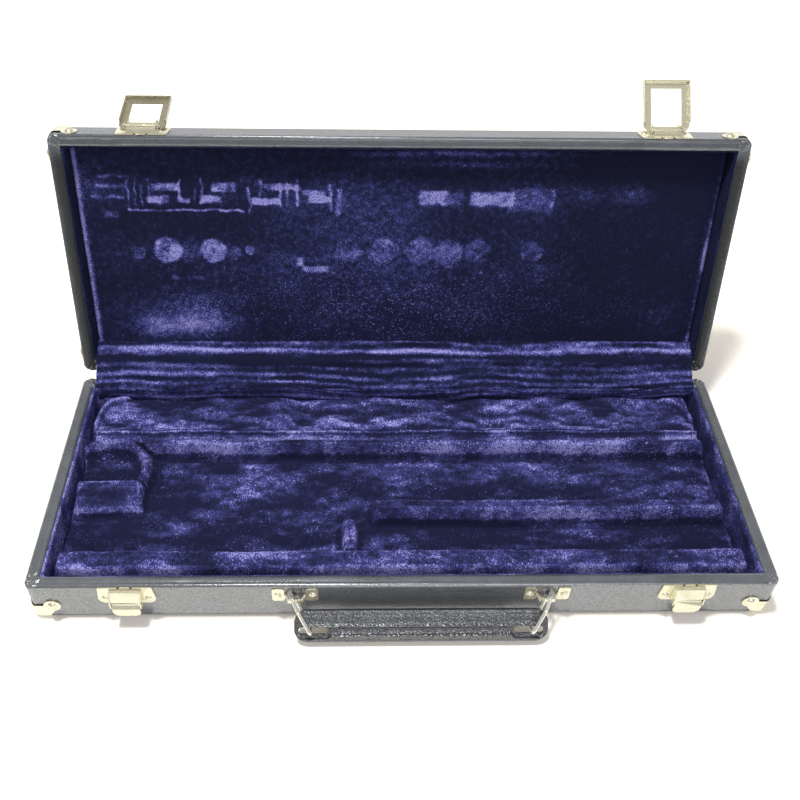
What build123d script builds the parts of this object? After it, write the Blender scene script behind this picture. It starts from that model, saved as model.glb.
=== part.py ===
from build123d import *
import os
from math import cos, sin, radians, atan2, hypot

# Flute case, drawn closed with +X to the right, +Y to the rear and +Z up.
# The origin is the middle of the underside. All sizes are millimetres and degrees.
# The pieces of the lid are drawn closed, then set on the plane of the opened lid.

# Shell
case_length = 440.0
case_depth = 168.0
base_height = 33.0
lid_height = 20.0
rim_gap = 0.4
corner_radius = 5.0
edge_radius = 3.5
rim_round = 1.5
covering = 0.8
wall = 6.0
board = 3.0
lining = 1.5
lining_drop = 0.8
flap_thickness = 1.3
flap_inset = 7.0

# Insert of the base: plush-covered rails and shelves on one bed, counted from the front and the left
insert_fit = 0.3
front_gap = 3.7
rear_gap = 0.7
end_gap = 3.2
bed_thickness = 7.2
rail_rise = 17.0
ridge_rise = 16.0
shelf_rise = 10.0
rod_lip_rise = 3.0
insert_round = 3.0
round_share = 0.4
top_share = 0.9
front_rail_width = 20.0
head_lane_width = 23.0
middle_rail_width = 15.0
body_lane_width = 39.0
rod_ridge_width = 10.0
rod_groove_width = 6.0
rod_lip_width = 5.0
foot_lane_length = 172.7
divider_width = 12.0
middle_rail_gap = 7.0
left_pocket_length = 39.7
left_end_width = 12.0
left_ridge_setback = 9.0
left_ridge_width = 8.0

# Padded panel in the lid
panel_thickness = 5.0
panel_fit = 0.6
panel_rear_gap = 9.0
panel_round = 2.0

# Corner protectors and rivets
sheet_metal = 0.8
lobe_radius = 5.0
lobe_offset = 13.0
lobe_height = 14.0
lobe_depth = 9.0
tab_width = 10.5
tab_height = 4.5
neck_low = (14.0, 9.2)
neck_high = (9.2, 17.2)
neck_dip = (5.2, 11.4)
corner_band = 14.2
rivet_head_radius = 2.4
rivet_head_height = 1.3
rivet_shank_radius = 1.0
rivet_shank_length = 3.6
corner_head_radius = 3.2
corner_head_height = 1.8

# Latches: the base and the lid carry the same stamped plate, mirrored at the rims
latch_left_inset = 58.0
latch_right_inset = 54.0
plate_top_half = 15.6
plate_wide_half = 16.8
plate_low_half = 15.0
plate_rim_drop = 0.4
plate_wide_drop = 11.5
plate_low_drop = 15.5
plate_corner = 3.6
plate_rivet_x = 12.6
plate_rivet_drop = 11.0
notch_radius = 4.4
nub_radius = 3.4
box_half = 8.3
box_top_drop = 2.0
cover_low_drop = 8.2
cover_top_out = 3.0
cover_low_out = 5.6
cheek_low_drop = 13.4
cheek_out = 6.2
pin_radius = 1.0
pin_clearance = 0.05
lever_pin_drop = 10.8
lever_pin_out = 3.8
lever_barrel = 1.75
lever_side_gap = 0.3
lever_sheet = 1.2
lever_crease_drop = 13.0
lever_crease_out = 6.4
lever_tip_drop = 21.3
lever_tip_out = 5.6
lever_corner = 4.5
spring_sheet = 0.35
spring_bow = 0.6
spring_half_length = 4.2
spring_half_width = 4.0

# Bails, drawn hanging down over the levers
bail_pin_rise = 5.4
bail_pin_out = 4.2
bail_half = 14.6
bail_side_gap = 0.5
bail_length = 31.6
bail_sheet = 0.9
bail_web_out = 6.6
bail_flange_in = 3.2
bail_bar = 4.8
bail_head = 5.2
bail_chamfer = 3.0
bail_ear_radius = 2.3
bail_top = 1.0
bail_left_rest = 160.0
bail_right_rest = 121.0

# Hinges on the outside of the rear walls
lid_angle = 105.0
hinge_out = 2.7
hinge_inset = 88.0
leaf_half = 19.0
leaf_reach = 13.0
leaf_sheet = 1.0
leaf_corner = 2.0
knuckle_radius = 2.5
knuckle_gap = 0.3
centre_knuckle_half = 6.5
hinge_pin_radius = 1.1
hinge_pin_clearance = 0.05
stop_gap = 0.3
stop_sheet = 1.0
stop_reach = 7.0
leaf_rivet_x = 13.0
leaf_rivet_near = 3.8
leaf_rivet_far = 9.6

# Handle plates, rings and grip
handle_middle_x = 9.25
handle_plate_half = 13.4
handle_plate_drop = 2.6
handle_plate_height = 12.0
handle_plate_corner = 1.5
handle_gap_half = 6.2
handle_rivet_x = 10.2
bridge_drop = 9.25
bridge_height = 3.0
bridge_out = 4.0
bridge_sheet = 0.9
bridge_half = 4.2
bridge_foot = 1.6
ring_wire = 1.1
ring_head = 2.9
ring_shoulder = 5.0
ring_front = 5.9
ring_back = 3.9
ring_round = 2.4
ring_in_slot = 1.35
ring_lean_in = 9.2
slot_out = 15.0
slot_z = 9.15
grip_lean = 38.0
grip_length = 148.5
grip_width = 19.0
grip_below_slot = 6.5
grip_thickness = 7.0
grip_corner = 8.0
grip_round = 2.2
slot_inset = 11.05
slot_length = 17.5
slot_width = 4.6
end_relief = 2.0
end_relief_length = 26.0
end_relief_below = 2.7
groove_width = 5.4
groove_depth = 1.2
groove_stop = 0.7
core_thickness = 1.2
core_width = 8.0

# Worked-out places
half_length = case_length / 2
half_depth = case_depth / 2
inner_x = half_length - covering - wall
inner_y = half_depth - covering - wall
lined_x = inner_x - lining
lined_y = inner_y - lining
split = base_height + rim_gap / 2
closed_height = base_height + rim_gap + lid_height
floor_top = covering + board
hinge_y = half_depth + hinge_out
hinge_x = half_length - hinge_inset
latch_left_x = latch_left_inset - half_length
latch_right_x = half_length - latch_right_inset
bail_pin_z = split + bail_pin_rise
lever_pin_z = base_height - lever_pin_drop
knuckle_bore = hinge_pin_radius + hinge_pin_clearance
pin_bore = pin_radius + pin_clearance
box_outer = box_half + sheet_metal

# Places of the insert
bed_top = floor_top + bed_thickness
rail_x = lined_x - end_gap
rail_front = front_gap - lined_y
head_lane = (rail_front + front_rail_width, rail_front + front_rail_width + head_lane_width)
body_front = head_lane[1] + middle_rail_width
body_lane = (body_front, body_front + body_lane_width)
shelf_front = body_lane[1] + rod_ridge_width
shelf_rear = lined_y - rear_gap
lip_front = shelf_front + rod_groove_width
divider_x = (foot_lane_length - lined_x, foot_lane_length - lined_x + divider_width)
middle_rail_left = divider_x[1] + middle_rail_gap
body_lane_left = left_pocket_length - lined_x
left_ridge_y = (body_front + left_ridge_setback, body_front + left_ridge_setback + left_ridge_width)

# Places of the handle
slot_middle = grip_length / 2 - slot_inset
plate_reach = slot_middle + ring_in_slot + ring_lean_in
left_plate_x = handle_middle_x - plate_reach
right_plate_x = handle_middle_x + plate_reach
handle_plate_z = base_height - handle_plate_drop - handle_plate_height / 2
bridge_z = base_height - bridge_drop
slot_y = -half_depth - slot_out
ring_pivot_y = -half_depth - bridge_out - bridge_sheet / 2
ring_drop = hypot(slot_y - ring_pivot_y, slot_z - bridge_z)
ring_lean = atan2(ring_pivot_y - slot_y, bridge_z - slot_z)
ring_length = hypot(ring_drop, ring_lean_in)


def turned(axis_y, axis_z, angle):
    """Plane of a piece turned by angle about the X-wise axis through axis_y and axis_z."""
    c, s = cos(radians(angle)), sin(radians(angle))
    origin = (0, axis_y - axis_y * c + axis_z * s, axis_z - axis_y * s - axis_z * c)
    return Plane(origin=origin, x_dir=(1, 0, 0), z_dir=(0, -s, c))


def front_face(out=0.0):
    """Plane on the front, out from the covering; its axes are X and Z."""
    return Plane(origin=(0, -half_depth - out, 0), x_dir=(1, 0, 0), z_dir=(0, -1, 0))


def rear_face(out=0.0):
    """Plane on the rear, out from the covering; its axes are -X and Z."""
    return Plane(origin=(0, half_depth + out, 0), x_dir=(-1, 0, 0), z_dir=(0, 1, 0))


def side_face(out=0.0):
    """Plane on the right end, out from the covering; its axes are Y and Z."""
    return Plane(origin=(half_length + out, 0, 0), x_dir=(0, 1, 0), z_dir=(1, 0, 0))


def under_face():
    """Plane on the underside, facing down; its axes are X and -Y."""
    return Plane(origin=(0, 0, 0), x_dir=(1, 0, 0), z_dir=(0, 0, -1))


def front_section(x):
    """Plane across the front hardware at x; its axes are the distance out and Z."""
    return Plane(origin=(x, -half_depth, 0), x_dir=(0, -1, 0), z_dir=(-1, 0, 0))


def rear_section(x):
    """Plane across a hinge at x; its axes are Y and Z."""
    return Plane(origin=(x, 0, 0), x_dir=(0, 1, 0), z_dir=(1, 0, 0))


def span(x, y, z, mode=Mode.ADD):
    """Block between two limits on each axis."""
    with Locations((x[0], y[0], z[0])):
        Box(x[1] - x[0], y[1] - y[0], z[1] - z[0], align=(Align.MIN,) * 3, mode=mode)


def pierced(piece, cuts):
    """A piece with room made for each piece that is let into it."""
    with BuildPart() as cut:
        add(piece.part)
        for inlay in cuts:
            add(inlay.part, mode=Mode.SUBTRACT)
    return cut


def placed(piece, plane):
    """The same piece set on another plane."""
    with BuildPart(plane) as moved:
        add(piece.part)
    return moved


def across_split(piece):
    """A fitting of the base's rim turned upside down for the lid's rim."""
    with BuildPart() as upper:
        mirror(piece.part, about=Plane.XY.offset(split))
    return upper


def capped(piece):
    """A tray piece, drawn with its board down, turned over to lie on the closed base."""
    with BuildPart() as upper:
        mirror(piece.part, about=Plane.XY.offset(closed_height / 2))
    return upper


def keep(piece, name, plane=Plane.XY):
    """Set a finished piece on its plane, label it and write its file."""
    finished = placed(piece, plane)
    finished.part.label = name
    export_step(finished.part, f"parts/{name}.step")


# ---------------------------------------------------------------- shell

def rounded_block(inset, height, rim):
    """The tray's outside, shrunk by inset: rounded corners and a rounded lower edge."""
    with BuildPart() as block:
        with BuildSketch(Plane.XY.offset(inset)):
            RectangleRounded(case_length - 2 * inset, case_depth - 2 * inset, corner_radius - inset)
        extrude(amount=height - 2 * inset)
        fillet(block.faces().sort_by(Axis.Z)[0].edges(), edge_radius - inset)
        if rim:
            fillet(block.faces().sort_by(Axis.Z)[-1].edges(), rim_round)
    return block


def tray_wall(height, x, y):
    """One plywood wall, cut from the tray's rounded outside."""
    with BuildPart() as panel:
        add(rounded_block(covering, height, False).part)
        span(x, y, (0, height), mode=Mode.INTERSECT)
    return panel


def tray_board():
    """Thin board that closes the tray between its walls."""
    with BuildPart() as closing_board:
        span((-inner_x, inner_x), (-inner_y, inner_y), (covering, floor_top))
    return closing_board


def tray_covering(height):
    """Leatherette round the walls, over the rim and folded under the edge."""
    with BuildPart() as skin:
        add(rounded_block(0, height, True).part)
        add(rounded_block(covering, height, False).part, mode=Mode.SUBTRACT)
        span((-inner_x, inner_x), (-inner_y, inner_y), (0, height), mode=Mode.SUBTRACT)
    return skin


def tray_face_sheet():
    """Leatherette sheet on the tray's flat outside, inside the folded hem."""
    with BuildPart() as sheet:
        span((-inner_x, inner_x), (-inner_y, inner_y), (0, covering))
    return sheet


def tray_lining(height):
    """Plush on the inside of the four walls."""
    rise = (floor_top, height - lining_drop)
    with BuildPart() as plush:
        span((-inner_x, inner_x), (-inner_y, inner_y), rise)
        span((-lined_x, lined_x), (-lined_y, lined_y), rise, mode=Mode.SUBTRACT)
    return plush


def rim_flap(height):
    """Plush strip let into the rear rim, where the lining crosses to the other half."""
    half = lined_x - flap_inset
    with BuildPart() as strip:
        span((-half, half), (inner_y, half_depth - covering), (height - flap_thickness, height))
    return strip


def lobe_face():
    """One upright face of a protector, from the case's corner: a tab, a dipping neck and a lobe."""
    corner = -sheet_metal
    with BuildSketch() as face:
        with BuildLine():
            Polyline(
                (corner, corner_band),
                (corner, 0),
                (tab_width, 0),
                (tab_width, tab_height),
                neck_low,
                (lobe_offset, lobe_height),
                neck_high,
            )
            ThreePointArc(neck_high, neck_dip, (corner, corner_band))
        make_face()
        with Locations((lobe_offset, lobe_height)):
            Circle(lobe_radius)
    return face


def protector_outline():
    """Space that the three lobes of the right front protector take up."""
    proud = sheet_metal
    outward = Plane(origin=(half_length, -half_depth - proud, 0), x_dir=(-1, 0, 0), z_dir=(0, 1, 0))
    endward = Plane(origin=(half_length + proud, -half_depth, 0), x_dir=(0, 1, 0), z_dir=(1, 0, 0))
    with BuildPart() as lobes:
        with BuildSketch(outward):
            add(lobe_face().sketch)
        extrude(amount=lobe_depth)
        with BuildSketch(endward):
            add(lobe_face().sketch)
        extrude(amount=-lobe_depth)
        with BuildSketch(Plane.XY):
            with Locations((half_length - lobe_offset, lobe_offset - half_depth)):
                Circle(lobe_radius)
            with Locations((half_length + proud, -half_depth - proud)):
                Rectangle(tab_width + proud, tab_width + proud, align=(Align.MAX, Align.MIN))
        extrude(amount=edge_radius)
    return lobes


def protector_core():
    """The tray's outside raised by the protector's sheet, to hollow the protectors."""
    with BuildPart() as core:
        with BuildSketch(Plane.XY.offset(sheet_metal)):
            RectangleRounded(case_length, case_depth, corner_radius)
        extrude(amount=lid_height)
        fillet(core.faces().sort_by(Axis.Z)[0].edges(), edge_radius)
    return core


def corner_protectors():
    """Four stamped corner protectors, one solid at each corner of a tray."""
    with BuildPart() as protectors:
        with BuildSketch(Plane.XY):
            RectangleRounded(
                case_length + 2 * sheet_metal, case_depth + 2 * sheet_metal, corner_radius + sheet_metal
            )
        extrude(amount=lid_height)
        fillet(protectors.faces().sort_by(Axis.Z)[0].edges(), edge_radius + sheet_metal)
        add(protector_core().part, mode=Mode.SUBTRACT)
        add(protector_outline().part, mode=Mode.INTERSECT)
        mirror(about=Plane.YZ)
        mirror(about=Plane.XZ)
    return protectors


# ---------------------------------------------------------------- rivets

def dome_rivet(head_radius, head_height):
    """Rivet standing on its seat: a domed head above it, the shank below."""
    ball = (head_radius**2 + head_height**2) / (2 * head_height)
    with BuildPart() as rivet:
        with Locations((0, 0, head_height - ball)):
            Sphere(ball)
        span((-ball, ball), (-ball, ball), (-2 * ball, 0), mode=Mode.SUBTRACT)
        Cylinder(rivet_shank_radius, rivet_shank_length, align=(Align.CENTER, Align.CENTER, Align.MAX))
    return rivet


def rivets(plane, places, head_radius=rivet_head_radius, head_height=rivet_head_height):
    """Rivets on one plane, one at each place."""
    single = dome_rivet(head_radius, head_height)
    with BuildPart(plane) as group:
        with Locations(*places):
            add(single.part)
    return group


def joined(*groups):
    """Several groups of separate solids kept as one piece."""
    with BuildPart() as together:
        for group in groups:
            add(group.part)
    return together


def corner_nails(plane, places):
    """Rivets with the broad heads that the protectors have."""
    return rivets(plane, places, corner_head_radius, corner_head_height)


def corner_rivets(flat_face_too):
    """Rivets in the lobes of the four protectors, on the flat face only where it is free."""
    x, y = half_length - lobe_offset, half_depth - lobe_offset
    fronts = [(sign * x, lobe_height) for sign in (-1, 1)]
    ends = [(sign * y, lobe_height) for sign in (-1, 1)]
    front_pair = corner_nails(front_face(sheet_metal), fronts)
    end_pair = corner_nails(side_face(sheet_metal), ends)
    with BuildPart() as nails:
        add(front_pair.part)
        add(end_pair.part)
        mirror(front_pair.part, about=Plane.XZ)
        mirror(end_pair.part, about=Plane.YZ)
        if flat_face_too:
            flat = [(a * x, b * y) for a in (-1, 1) for b in (-1, 1)]
            add(corner_nails(under_face(), flat).part)
    return nails


# ---------------------------------------------------------------- latches

def latch_plate(x):
    """Stamped latch plate below the base's rim: wings, two cheeks, a cover and a nub."""
    rim = base_height
    outline = [
        (x - plate_top_half, rim - plate_rim_drop),
        (x + plate_top_half, rim - plate_rim_drop),
        (x + plate_wide_half, rim - plate_wide_drop),
        (x + plate_low_half, rim - plate_low_drop),
        (x - plate_low_half, rim - plate_low_drop),
        (x - plate_wide_half, rim - plate_wide_drop),
    ]
    cheek = [
        (0, rim - box_top_drop),
        (cover_top_out, rim - box_top_drop),
        (cheek_out, rim - cover_low_drop),
        (cheek_out, rim - cheek_low_drop),
        (0, rim - cheek_low_drop),
    ]
    cover = [
        (0, rim - box_top_drop),
        (cover_top_out, rim - box_top_drop),
        (cover_low_out, rim - cover_low_drop),
        (cover_low_out - sheet_metal, rim - cover_low_drop),
        (cover_top_out - sheet_metal, rim - box_top_drop - sheet_metal),
        (0, rim - box_top_drop - sheet_metal),
    ]
    with BuildPart() as plate:
        with BuildSketch(front_face()) as wings:
            with BuildLine():
                Polyline(outline, close=True)
            make_face()
            fillet(wings.vertices().sort_by(Axis.Y)[:4], plate_corner)
            with Locations((x, rim - plate_rim_drop)):
                Circle(notch_radius, mode=Mode.SUBTRACT)
            with Locations((x, rim - box_top_drop)):
                Circle(nub_radius)
            with Locations((x, rim + nub_radius / 2)):
                Rectangle(2 * plate_wide_half, nub_radius, mode=Mode.SUBTRACT)
        extrude(amount=sheet_metal)
        for side in (-1, 1):
            with BuildSketch(front_section(x + side * (box_half + sheet_metal / 2))):
                with BuildLine():
                    Polyline(cheek, close=True)
                make_face()
            extrude(amount=sheet_metal / 2, both=True)
        with BuildSketch(front_section(x)):
            with BuildLine():
                Polyline(cover, close=True)
            make_face()
        extrude(amount=box_half, both=True)
    return plate


def cross_pin(x, out, z, half, radius):
    """Pin along X in front of the case."""
    with BuildPart(front_section(x)) as pin:
        with Locations((out, z, 0)):
            Cylinder(radius, 2 * half)
    return pin


def latch_lever(x):
    """Lever curled round its pin, bent outwards to a crease and ending in a rounded lip."""
    half_sheet = lever_sheet / 2
    spine = [
        (lever_pin_out + lever_barrel - half_sheet, lever_pin_z),
        (lever_crease_out, base_height - lever_crease_drop),
        (lever_tip_out, base_height - lever_tip_drop),
    ]
    blade = [(out - half_sheet, z) for out, z in spine] + [(out + half_sheet, z) for out, z in spine[::-1]]
    with BuildPart() as lever:
        with BuildSketch(front_section(x)):
            with Locations((lever_pin_out, lever_pin_z)):
                Circle(lever_barrel)
            with BuildLine():
                Polyline(blade, close=True)
            make_face()
            with Locations((lever_pin_out, lever_pin_z)):
                Circle(pin_bore, mode=Mode.SUBTRACT)
        extrude(amount=box_half - lever_side_gap, both=True)
        fillet(lever.edges().filter_by(Axis.Y, tolerance=20).group_by(Axis.Z)[0], lever_corner)
    return lever


def latch_spring(x):
    """Bowed leaf spring between the plate and the curl of the lever."""
    middle = lever_pin_z
    low, high = middle - spring_half_length, middle + spring_half_length
    with BuildPart() as spring:
        with BuildSketch(front_section(x)):
            with BuildLine():
                ThreePointArc((sheet_metal, low), (sheet_metal + spring_bow, middle), (sheet_metal, high))
                Line((sheet_metal, high), (sheet_metal + spring_sheet, high))
                ThreePointArc(
                    (sheet_metal + spring_sheet, high),
                    (sheet_metal + spring_bow + spring_sheet, middle),
                    (sheet_metal + spring_sheet, low),
                )
                Line((sheet_metal + spring_sheet, low), (sheet_metal, low))
            make_face()
        extrude(amount=spring_half_width, both=True)
    return spring


def plate_rivets(x):
    """The two rivets of a latch plate on the base."""
    z = base_height - plate_rivet_drop
    return rivets(front_face(sheet_metal), [(x - plate_rivet_x, z), (x + plate_rivet_x, z)])


def latch_bail(x):
    """Stamped bail hanging from its pin: a window in a flanged frame, and two pierced ears."""
    tip_z = bail_pin_z - bail_length
    web_low = bail_web_out - bail_sheet
    inner = box_outer + bail_side_gap
    flange_depth = web_low - bail_flange_in
    frame = [
        (x - bail_half, tip_z),
        (x + bail_half, tip_z),
        (x + bail_half, bail_pin_z - bail_chamfer),
        (x + bail_half - bail_chamfer, bail_pin_z + bail_top),
        (x - bail_half + bail_chamfer, bail_pin_z + bail_top),
        (x - bail_half, bail_pin_z - bail_chamfer),
    ]
    window = (2 * inner, bail_length + 2 * bail_top)
    with BuildPart() as bail:
        with BuildSketch(front_face(web_low)):
            with BuildLine():
                Polyline(frame, close=True)
            make_face()
            with Locations((x, tip_z + bail_bar)):
                Rectangle(*window, align=(Align.CENTER, Align.MIN), mode=Mode.SUBTRACT)
        extrude(amount=bail_sheet)
        with BuildSketch(front_face(bail_flange_in)):
            for side in (-1, 1):
                with Locations((x + side * (bail_half - bail_sheet / 2), tip_z)):
                    Rectangle(bail_sheet, bail_length - bail_head, align=(Align.CENTER, Align.MIN))
            with Locations((x, tip_z)):
                Rectangle(2 * bail_half, bail_sheet, align=(Align.CENTER, Align.MIN))
        extrude(amount=flange_depth)
        for side in (-1, 1):
            with BuildSketch(front_section(x + side * (inner + bail_sheet / 2))):
                with Locations((bail_pin_out, bail_pin_z)):
                    Circle(bail_ear_radius)
                with Locations((bail_pin_out, bail_pin_z)):
                    Rectangle(
                        bail_web_out - bail_pin_out,
                        bail_ear_radius + bail_top,
                        align=(Align.MIN, Align.CENTER),
                    )
                with Locations((bail_pin_out, bail_pin_z)):
                    Circle(pin_bore, mode=Mode.SUBTRACT)
            extrude(amount=bail_sheet / 2, both=True)
    return bail


# ---------------------------------------------------------------- hinges

def turn_point(point, angle):
    """A point of a hinge's section turned about the hinge axis."""
    c, s = cos(radians(angle)), sin(radians(angle))
    y, z = point[0] - hinge_y, point[1] - split
    return (hinge_y + y * c - z * s, split + y * s + z * c)


def hinge_leaf(x, low, high, knuckles):
    """Leaf on the rear face between two heights, with the knuckles that it carries."""
    with BuildPart() as leaf:
        with BuildSketch(rear_face()) as outline:
            with Locations((-x, (low + high) / 2)):
                Rectangle(2 * leaf_half, high - low)
            fillet(outline.vertices(), leaf_corner)
        extrude(amount=leaf_sheet)
        for start, end in knuckles:
            with BuildSketch(rear_section(x + start)):
                with Locations((hinge_y, split)):
                    Circle(knuckle_radius)
                with Locations((half_depth + leaf_sheet / 2, (split + (low + high) / 2) / 2)):
                    Rectangle(leaf_sheet, abs(split - (low + high) / 2))
                with Locations((hinge_y, split)):
                    Circle(knuckle_bore, mode=Mode.SUBTRACT)
            extrude(amount=end - start)
    return leaf


def base_leaf(x):
    """Lower leaf with the two outer knuckles."""
    high = split - knuckle_radius - knuckle_gap
    inside = centre_knuckle_half + knuckle_gap
    return hinge_leaf(x, high - leaf_reach, high, [(-leaf_half, -inside), (inside, leaf_half)])


def lid_leaf(x):
    """Upper leaf with the centre knuckle and the lug that stops the opened lid."""
    low = split + knuckle_radius + knuckle_gap
    front = half_depth + leaf_sheet + stop_gap
    lug = [
        (front, split),
        (front + stop_sheet, split),
        (front + stop_sheet, split - stop_reach),
        (front, split - stop_reach),
    ]
    leaf = hinge_leaf(x, low, low + leaf_reach, [(-centre_knuckle_half, centre_knuckle_half)])
    with BuildPart() as stopped:
        add(leaf.part)
        with BuildSketch(rear_section(x)):
            with BuildLine():
                Polyline([turn_point(point, lid_angle) for point in lug], close=True)
            make_face()
        extrude(amount=centre_knuckle_half, both=True)
        with BuildSketch(rear_section(x)):
            with Locations((hinge_y, split)):
                Circle(knuckle_bore)
        extrude(amount=centre_knuckle_half, both=True, mode=Mode.SUBTRACT)
    return stopped


def hinge_pin(x):
    """Pin through all the knuckles of one hinge."""
    with BuildPart(rear_section(x)) as pin:
        with Locations((hinge_y, split, 0)):
            Cylinder(hinge_pin_radius, 2 * leaf_half)
    return pin


def leaf_rivets(x, above):
    """Four rivets of one leaf, above or below the hinge axis."""
    edge = knuckle_radius + knuckle_gap
    heights = [split + above * (edge + far) for far in (leaf_rivet_near, leaf_rivet_far)]
    return rivets(rear_face(leaf_sheet), [(-x + a * leaf_rivet_x, z) for a in (-1, 1) for z in heights])


# ---------------------------------------------------------------- handle

def handle_plate(x):
    """Handle plate: two riveted pads and the bridge that the ring hangs on."""
    foot_in, foot_out = bridge_half + bridge_foot, bridge_half + bridge_foot + bridge_sheet
    crown = bridge_out + bridge_sheet
    bridge = [
        (x - foot_out, 0), (x - bridge_half, crown), (x + bridge_half, crown), (x + foot_out, 0),
        (x + foot_in, 0), (x + bridge_half - bridge_sheet / 2, bridge_out),
        (x - bridge_half + bridge_sheet / 2, bridge_out), (x - foot_in, 0),
    ]
    pad = handle_plate_half - handle_gap_half
    pad_places = [(x + side * (handle_gap_half + pad / 2), handle_plate_z) for side in (-1, 1)]
    with BuildPart() as plate:
        with BuildSketch(front_face()):
            with Locations(*pad_places):
                RectangleRounded(pad, handle_plate_height, handle_plate_corner)
        extrude(amount=sheet_metal)
        with BuildSketch(Plane(origin=(0, -half_depth, bridge_z), x_dir=(1, 0, 0), z_dir=(0, 0, -1))):
            with BuildLine():
                Polyline(bridge, close=True)
            make_face()
        extrude(amount=bridge_height / 2, both=True)
    return plate


def bridge_rivets(x):
    """The two rivets of a handle plate."""
    places = [(x + side * handle_rivet_x, handle_plate_z) for side in (-1, 1)]
    return rivets(front_face(sheet_metal), places)


def ring_plane(x, side):
    """Plane of a ring: its X runs from the bridge to the slot, its Y out from the case."""
    down = Vector(-side * ring_lean_in, -ring_drop * sin(ring_lean), -ring_drop * cos(ring_lean)).normalized()
    out = Vector(0, -cos(ring_lean), sin(ring_lean))
    return Plane(origin=(x, ring_pivot_y, bridge_z), x_dir=down, z_dir=down.cross(out))


def handle_ring(x, side):
    """Closed wire ring, narrow at the bridge and wide round the grip."""
    corners = [
        (-ring_head, -ring_head),
        (-ring_head, ring_head),
        (ring_shoulder, ring_front),
        (ring_length, ring_front),
        (ring_length, -ring_back),
        (ring_shoulder, -ring_back),
    ]
    plane = ring_plane(x, side)
    with BuildPart() as ring:
        with BuildLine(plane) as path:
            FilletPolyline(*corners, radius=ring_round, close=True)
        start = path.wire() @ 0
        with BuildSketch(Plane(origin=start, z_dir=path.wire() % 0)):
            Circle(ring_wire)
        sweep()
    return ring


def grip_plane():
    """Plane of the grip: X along it, Y across its face, Z out of the face."""
    lean = radians(grip_lean)
    return Plane(origin=(handle_middle_x, slot_y, slot_z), x_dir=(1, 0, 0), z_dir=(0, -cos(lean), sin(lean)))


def grip_core():
    """Steel strip inside the grip, from slot to slot."""
    with BuildPart() as core:
        Box(2 * slot_middle - slot_length, core_width, core_thickness)
    return core


def handle_grip():
    """Moulded grip with a slot near each end and a sunk band between the slots."""
    face, back = grip_thickness / 2, -grip_thickness / 2
    above_slot = grip_width - grip_below_slot
    with BuildPart() as grip:
        with BuildSketch(Plane.XY.offset(back)):
            with Locations((0, (above_slot - grip_below_slot) / 2)):
                RectangleRounded(grip_length, grip_width, grip_corner)
        extrude(amount=grip_thickness)
        fillet(grip.faces().filter_by(Axis.Z).edges(), grip_round)
        with BuildSketch(Plane.XY.offset(back)):
            with Locations((-slot_middle, 0), (slot_middle, 0)):
                SlotOverall(slot_length, slot_width)
        extrude(amount=grip_thickness, mode=Mode.SUBTRACT)
        with BuildSketch(Plane.XY.offset(face - groove_depth)):
            SlotOverall(2 * (slot_middle - groove_stop) + slot_length, groove_width)
        extrude(amount=groove_depth, mode=Mode.SUBTRACT)
        for side in (-1, 1):
            near = grip_length / 2 - end_relief_length
            span(
                sorted((side * near, side * grip_length)),
                (-end_relief_below, grip_width),
                (back, back + end_relief),
                mode=Mode.SUBTRACT,
            )
        add(grip_core().part, mode=Mode.SUBTRACT)
    return grip


# ---------------------------------------------------------------- insert

def rail(x, y, z):
    """Plush-covered block; its rounded corners and top edges are limited by its width and height."""
    corner = min(insert_round, round_share * (x[1] - x[0]), round_share * (y[1] - y[0]))
    with BuildPart() as block:
        span(x, y, z)
        fillet(block.edges().filter_by(Axis.Z), corner)
        fillet(block.faces().sort_by(Axis.Z)[-1].edges(), top_share * min(corner, z[1] - z[0]))
    return block


# ---------------------------------------------------------------- build

os.makedirs("parts", exist_ok=True)

open_lid = turned(hinge_y, split, -lid_angle)

# Fittings of the base
protectors = corner_protectors()
base_corner_nails = corner_rivets(False)
left_plate, right_plate = latch_plate(latch_left_x), latch_plate(latch_right_x)
latch_nails = joined(plate_rivets(latch_left_x), plate_rivets(latch_right_x))
left_bridge, right_bridge = handle_plate(left_plate_x), handle_plate(right_plate_x)
handle_nails = joined(bridge_rivets(left_plate_x), bridge_rivets(right_plate_x))
base_leaves = joined(base_leaf(-hinge_x), base_leaf(hinge_x))
base_leaf_nails = joined(leaf_rivets(-hinge_x, -1), leaf_rivets(hinge_x, -1))
base_flap = rim_flap(base_height)
base_cuts = [protectors, base_corner_nails, latch_nails, handle_nails, base_leaf_nails, base_flap]

# Fittings of the lid
lid_protectors = capped(protectors)
lid_corner_nails = capped(corner_rivets(True))
lid_latch_nails = across_split(latch_nails)
lid_leaves = joined(lid_leaf(-hinge_x), lid_leaf(hinge_x))
lid_leaf_nails = joined(leaf_rivets(-hinge_x, 1), leaf_rivets(hinge_x, 1))
lid_flap = capped(rim_flap(lid_height))
lid_cuts = [lid_protectors, lid_corner_nails, lid_latch_nails, lid_leaf_nails, lid_flap]

# Shells of both halves
long_wall_x = (-half_length, half_length)
walls = {
    "front_wall": (long_wall_x, (-half_depth, -inner_y)),
    "rear_wall": (long_wall_x, (inner_y, half_depth)),
    "left_wall": ((-half_length, -inner_x), (-inner_y, inner_y)),
    "right_wall": ((inner_x, half_length), (-inner_y, inner_y)),
}
for wall_name, (wall_x, wall_y) in walls.items():
    keep(pierced(tray_wall(base_height, wall_x, wall_y), base_cuts), f"base_{wall_name}")
    keep(pierced(capped(tray_wall(lid_height, wall_x, wall_y)), lid_cuts), f"lid_{wall_name}", open_lid)
keep(tray_board(), "base_floor_board")
keep(pierced(capped(tray_board()), lid_cuts), "lid_top_board", open_lid)
keep(pierced(tray_covering(base_height), base_cuts), "base_covering")
keep(pierced(capped(tray_covering(lid_height)), lid_cuts), "lid_covering", open_lid)
keep(pierced(tray_face_sheet(), base_cuts), "base_underside_sheet")
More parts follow.
